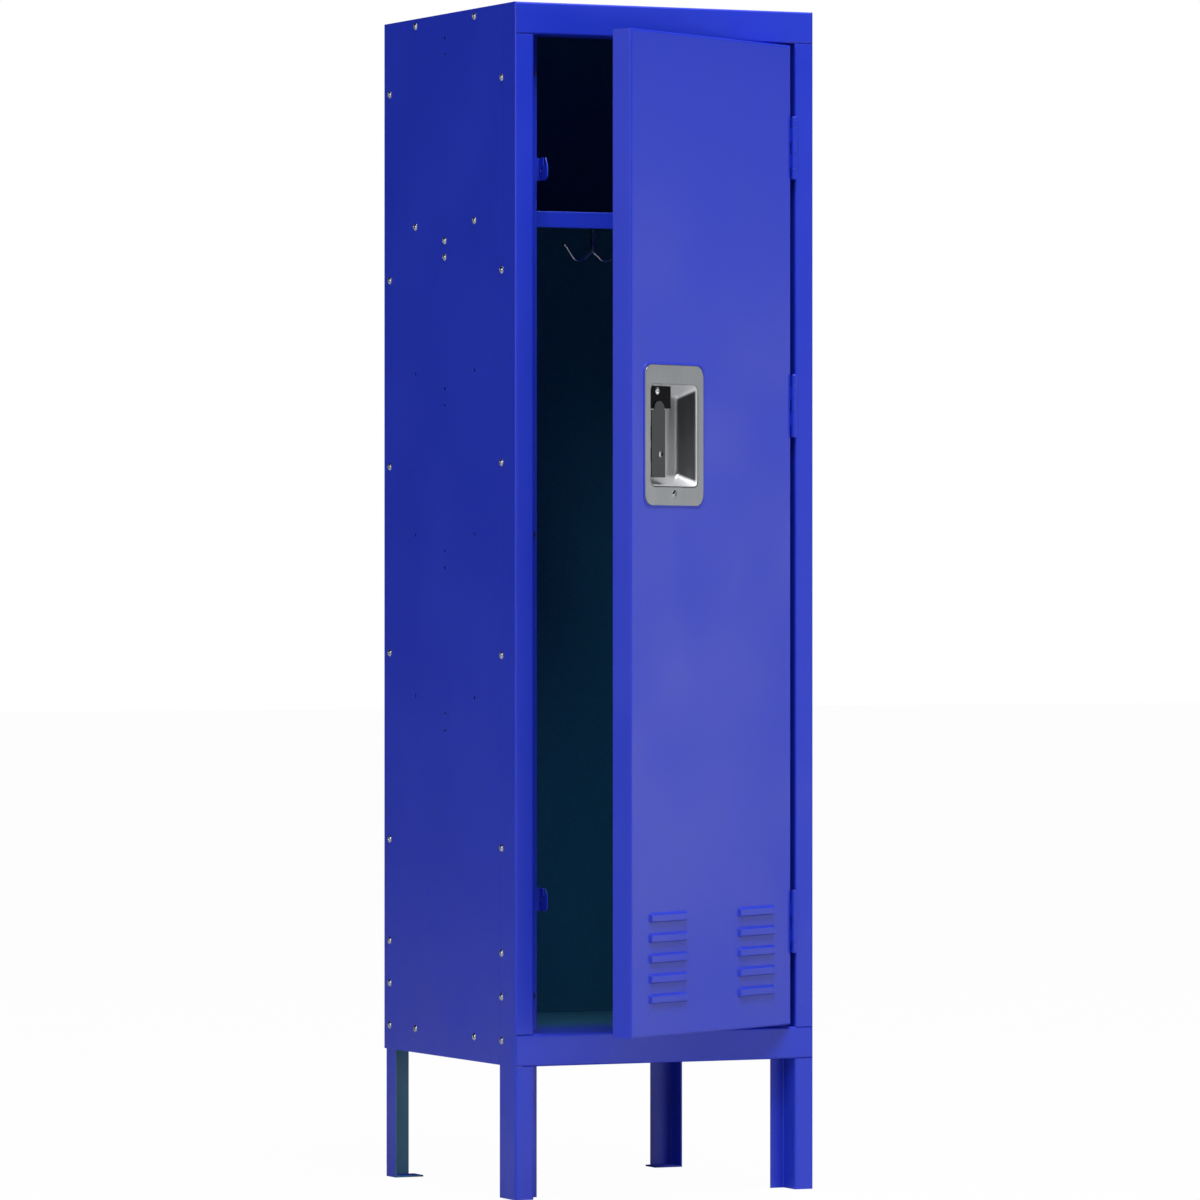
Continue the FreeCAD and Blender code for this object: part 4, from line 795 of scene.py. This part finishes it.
def nut_sheet():
    """A hexagon nut: rows from the foot of its bevelled bore, over the top, to its foot."""
    angle = np.arange(NUT_COLUMNS) * 2 * math.pi / NUT_COLUMNS
    flat = NUT_CORNER * math.cos(math.pi / 6)
    hexagon = flat / np.cos((angle + math.pi / 6) % (math.pi / 3) - math.pi / 6)
    ring = np.ones(NUT_COLUMNS)
    drop = NUT_BEVEL * (hexagon - flat) / (NUT_CORNER - flat)
    bore, lead = SHANK_RADIUS * BORE_ROOM, SHANK_RADIUS * LEAD_ROOM
    face = flat * FACE_SHARE
    rows = [(bore * ring, NUT_BEVEL * ring), (bore * ring, (NUT_HEIGHT - NUT_BEVEL) * ring),
            (lead * ring, NUT_HEIGHT * ring), (face * ring, NUT_HEIGHT * ring),
            (hexagon, NUT_HEIGHT - drop - FACE_STEP), (hexagon, drop + FACE_STEP),
            (face * ring, 0 * ring), (lead * ring, 0 * ring), (bore * ring, NUT_BEVEL * ring)]
    return np.stack([np.stack([r * np.cos(angle), r * np.sin(angle), h], -1) for r, h in rows])


nut = nut_sheet()
for hand, way in (("left", -1), ("right", 1)):
    crown = crowns(f"{hand}_side_screws", (way, 0, 0))
    points = corners_of(f"{hand}_side_nuts")
    aside = np.linalg.norm(points[None, :, 1:] - crown[:, None, 1:], axis=2) < NUT_REACH
    seats = [(way * np.abs(points[close, 0]).max(), *middle[1:])
             for close, middle in zip(aside, crown) if close.any()]
    skin(f"{hand}_nuts", set_along(nut, seats, (-way, 0, 0)), "fastener_steel", "cabinet",
         f"{hand}_side_nuts")
low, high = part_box("ceiling_hook_nut")
seat = [((low.x + high.x) / 2, (low.y + high.y) / 2, low.z)]
upright = nut[None] + np.array(seat)[:, None, None, :]
skin("hook_nut", upright, "fastener_steel", "cabinet", "ceiling_hook_nut")

# %% [markdown]
# ## Rivets and the plate screw
# Small parts are held by blind rivets. Their heads are low domes with the dimple
# where the mandrel snapped off. The same turned profile, in two sizes, makes the
# rivets of the frame hooks and of the latch block. The plate screw is a flatter
# copy of the side screws.

# %% Rivets and the plate screw
RIVET_HEAD = 3.2 * MM
RIVET_RISE = 1.2 * MM
RIVET_SHANK = 1.6 * MM
RIVET_COLUMNS = 32
DIMPLE_DEPTH = 0.55
DIMPLE_RADIUS = 0.32
TAIL_RADIUS = 0.85
TAIL_RISE = 0.9
DOME_RINGS = 14
TAIL_RINGS = 10
BLOCK_HEAD = 4.6 * MM
BLOCK_RISE = 0.8 * MM
BLOCK_SEAT = 0.6 * MM
PLATE_SINK = HEAD_HEIGHT / 2
PLATE_LIFT = 0.4 * MM


def rivet_sheet(head, rise, gauge, tail):
    """A rivet: a dome with a dimple, a shank of length gauge, and a second dome if tail."""
    share = np.linspace(0, 1, DOME_RINGS)
    dome = rise * np.sqrt(np.clip(1 - share ** 2, 0, 1))
    dome -= DIMPLE_DEPTH * rise * np.clip(1 - (share / DIMPLE_RADIUS) ** 2, 0, 1)
    radii, heights = list(head * share), list(dome)
    if tail:
        back = np.linspace(1, 0, TAIL_RINGS)
        radii += [RIVET_SHANK, RIVET_SHANK, *(head * TAIL_RADIUS * back)]
        heights += [0, -gauge, *(-gauge - rise * TAIL_RISE * np.sqrt(1 - back ** 2))]
    else:
        radii += [RIVET_SHANK, RIVET_SHANK, 0]
        heights += [0, -gauge, -gauge]
    return turned(radii, heights, RIVET_COLUMNS)


front = crowns("frame_hook_rivets", (0, -1, 0)) + (0, RIVET_RISE, 0)
gauge = np.ptp(corners_of("frame_hook_rivets")[:, 1]) - 2 * RIVET_RISE
rivet = rivet_sheet(RIVET_HEAD, RIVET_RISE, gauge, True)
skin("hook_rivets", set_along(rivet, front, (0, -1, 0)), "blue_powder", "cabinet",
     "frame_hook_rivets")

head = crowns("latch_block_rivet", OUTWARD)
span = np.ptp(corners_of("latch_block_rivet") @ np.array(OUTWARD))
seat = head.mean(0, keepdims=True) + np.array(INWARD) * BLOCK_SEAT
rivet = rivet_sheet(BLOCK_HEAD, BLOCK_RISE, span - BLOCK_SEAT, False)
skin("block_rivet", set_along(rivet, seat, OUTWARD), "fastener_steel", "door",
     "latch_block_rivet")

head = crowns("handle_screw", OUTWARD)
span = np.ptp(corners_of("handle_screw") @ np.array(OUTWARD))
seat = head.mean(0, keepdims=True) + np.array(INWARD) * PLATE_SINK
plate_screw = screw_sheet(HEAD_RADIUS, PLATE_SINK + PLATE_LIFT, span - PLATE_SINK)
skin("plate_screw", set_along(plate_screw, seat, OUTWARD), "fastener_steel", "door",
     "handle_screw")

# %% [markdown]
# ## The pressed seat round the handle
# The door's skin is pressed into a low bead round the handle's plate, which hides the
# plate's edge and stiffens the cut-out. The bead's path is a rectangle with round
# corners: a circle whose quarters are moved apart. Its section is half an ellipse.

# %% The pressed seat round the handle
SEAT_WIDTH = 3.2 * MM
SEAT_RISE = 0.8 * MM
SEAT_ROOT = 0.3 * MM
SEAT_CORNER = 10.5 * MM
SEAT_COLUMNS = 96
SEAT_ROWS = 13


def bead(half_width, half_height, corner):
    """A bead round a plate, as points across, up and out.

    With n = (cos a, sin a), the path is n * corner plus the corner's centre. The height
    at an offset t from the path is rise * sqrt(1 - (2 t / width)^2).
    """
    angle = (np.arange(SEAT_COLUMNS) + 0.5) * 2 * math.pi / SEAT_COLUMNS
    cos, sin = np.cos(angle), np.sin(angle)
    share = np.linspace(-1, 1, SEAT_ROWS)
    offset = np.concatenate([share, share[::-1], share[:1]])[:, None] * SEAT_WIDTH / 2
    rise = np.concatenate([SEAT_RISE * np.sqrt(1 - share ** 2), 0 * share - SEAT_ROOT, [0]])
    x = (half_width - corner) * np.sign(cos) + (corner + offset) * cos
    z = (half_height - corner) * np.sign(sin) + (corner + offset) * sin
    return x, z, rise[:, None] + 0 * x


points = corners_of("handle_cup")
over, high = points @ np.array(ACROSS), points[:, 2]
gap = SEAT_WIDTH / 4
x, z, out = bead(np.ptp(over) / 2 + gap, np.ptp(high) / 2 + gap, SEAT_CORNER)
x = x + (over.min() + over.max()) / 2
z = z + (high.min() + high.max()) / 2
out = out + door_face
seat_ring = (x[..., None] * np.array(ACROSS) + z[..., None] * np.array((0, 0, 1))
             + out[..., None] * np.array(OUTWARD))
skin("plate_seat", seat_ring[None], "blue_powder", "door")

# %% [markdown]
# ## Door bumpers
# Three rubber buttons on the door stop quieten the closing door. A button is a low
# drum with a wide round shoulder and a small mould mark in its middle.

# %% Door bumpers
BUMPER_RADIUS = 5.0 * MM
BUMPER_HEIGHT = 4.0 * MM
BUMPER_SHOULDER = 1.6 * MM
SHOULDER_RINGS = 7
MARK_RADIUS = 0.6 * MM
MARK_RIM = 0.9 * MM
MARK_DEPTH = 0.4 * MM
LAYER = 4 * BUMPER_RADIUS
LAYER_REACH = 0.9

turn = np.linspace(0, math.pi / 2, SHOULDER_RINGS)
shoulder_r = BUMPER_RADIUS - BUMPER_SHOULDER * (1 - np.sin(turn))
shoulder_h = BUMPER_HEIGHT - BUMPER_SHOULDER * (1 - np.cos(turn))
mark = BUMPER_HEIGHT - MARK_DEPTH
button = turned([0, MARK_RADIUS, MARK_RIM, *shoulder_r, BUMPER_RADIUS, 0],
                [mark, mark, BUMPER_HEIGHT, *shoulder_h, 0, 0], RIVET_COLUMNS)
points = corners_of("door_bumpers")
stop = points[:, 1].max()
level_of = points[:, 2] / LAYER
near = [points[np.abs(level_of - layer) < LAYER_REACH] for layer in np.unique(np.round(level_of))]
seats = [((p[:, 0].min() + p[:, 0].max()) / 2, stop, (p[:, 2].min() + p[:, 2].max()) / 2)
         for p in near]
seats = np.unique(np.round(np.array(seats), 5), axis=0)
print("bumpers at", seats.tolist())
skin("bumpers", set_along(button, seats, (0, -1, 0)), "bumper_rubber", "cabinet", "door_bumpers")

# %% [markdown]
# ## Parts with soft edges
# The lever, the staple, the latch block, the lock bar and its guides, the frame hooks
# and the foot plates are small parts whose edges show. Each is a copy of its CAD node:
# the copy's loose triangles are merged, flat faces are joined, and a Bevel modifier
# rounds every edge that turns by more than EDGE_ANGLE.

# %% Parts with soft edges
FLAT_ANGLE = math.radians(0.5)
EDGE_ANGLE = math.radians(35)
ROUNDING_STEPS = 2


def softened(name, node, radius, body):
    """A copy of a CAD node with merged points and its sharp edges rounded to a radius."""
    mesh = nodes[node].data.copy()
    mesh.name = name
    shaped = bmesh.new()
    shaped.from_mesh(mesh)
    bmesh.ops.remove_doubles(shaped, verts=shaped.verts, dist=MERGE)
    bmesh.ops.dissolve_limit(shaped, angle_limit=FLAT_ANGLE, verts=shaped.verts,
                             edges=shaped.edges)
    shaped.to_mesh(mesh)
    shaped.free()
    for layer in ("custom_normal", "sharp_face", "sharp_edge"):
        if layer in mesh.attributes:
            mesh.attributes.remove(mesh.attributes[layer])
    mesh.shade_smooth()
    piece = joined(bpy.data.objects.new(name, mesh), slot_of[node], body, node)
    rounding = piece.modifiers.new("rounding", "BEVEL")
    rounding.width = radius
    rounding.segments = ROUNDING_STEPS
    rounding.limit_method = "ANGLE"
    rounding.angle_limit = EDGE_ANGLE
    rounding.harden_normals = True


softened("lever", "lift_lever", 0.45 * MM, "lock_bar")
softened("staple", "padlock_staple", 0.3 * MM, "door")
softened("block", "latch_block", 0.6 * MM, "door")
softened("bar", "lock_bar", 0.4 * MM, "lock_bar")
softened("guides", "lock_bar_guides", 0.5 * MM, "door")
softened("hook_high", "upper_frame_hook", 0.4 * MM, "cabinet")
softened("hook_low", "lower_frame_hook", 0.4 * MM, "cabinet")
for corner in ("front_left", "front_right", "rear_left", "rear_right"):
    softened(f"{corner}_foot", f"{corner}_foot_plate", 0.5 * MM, "cabinet")
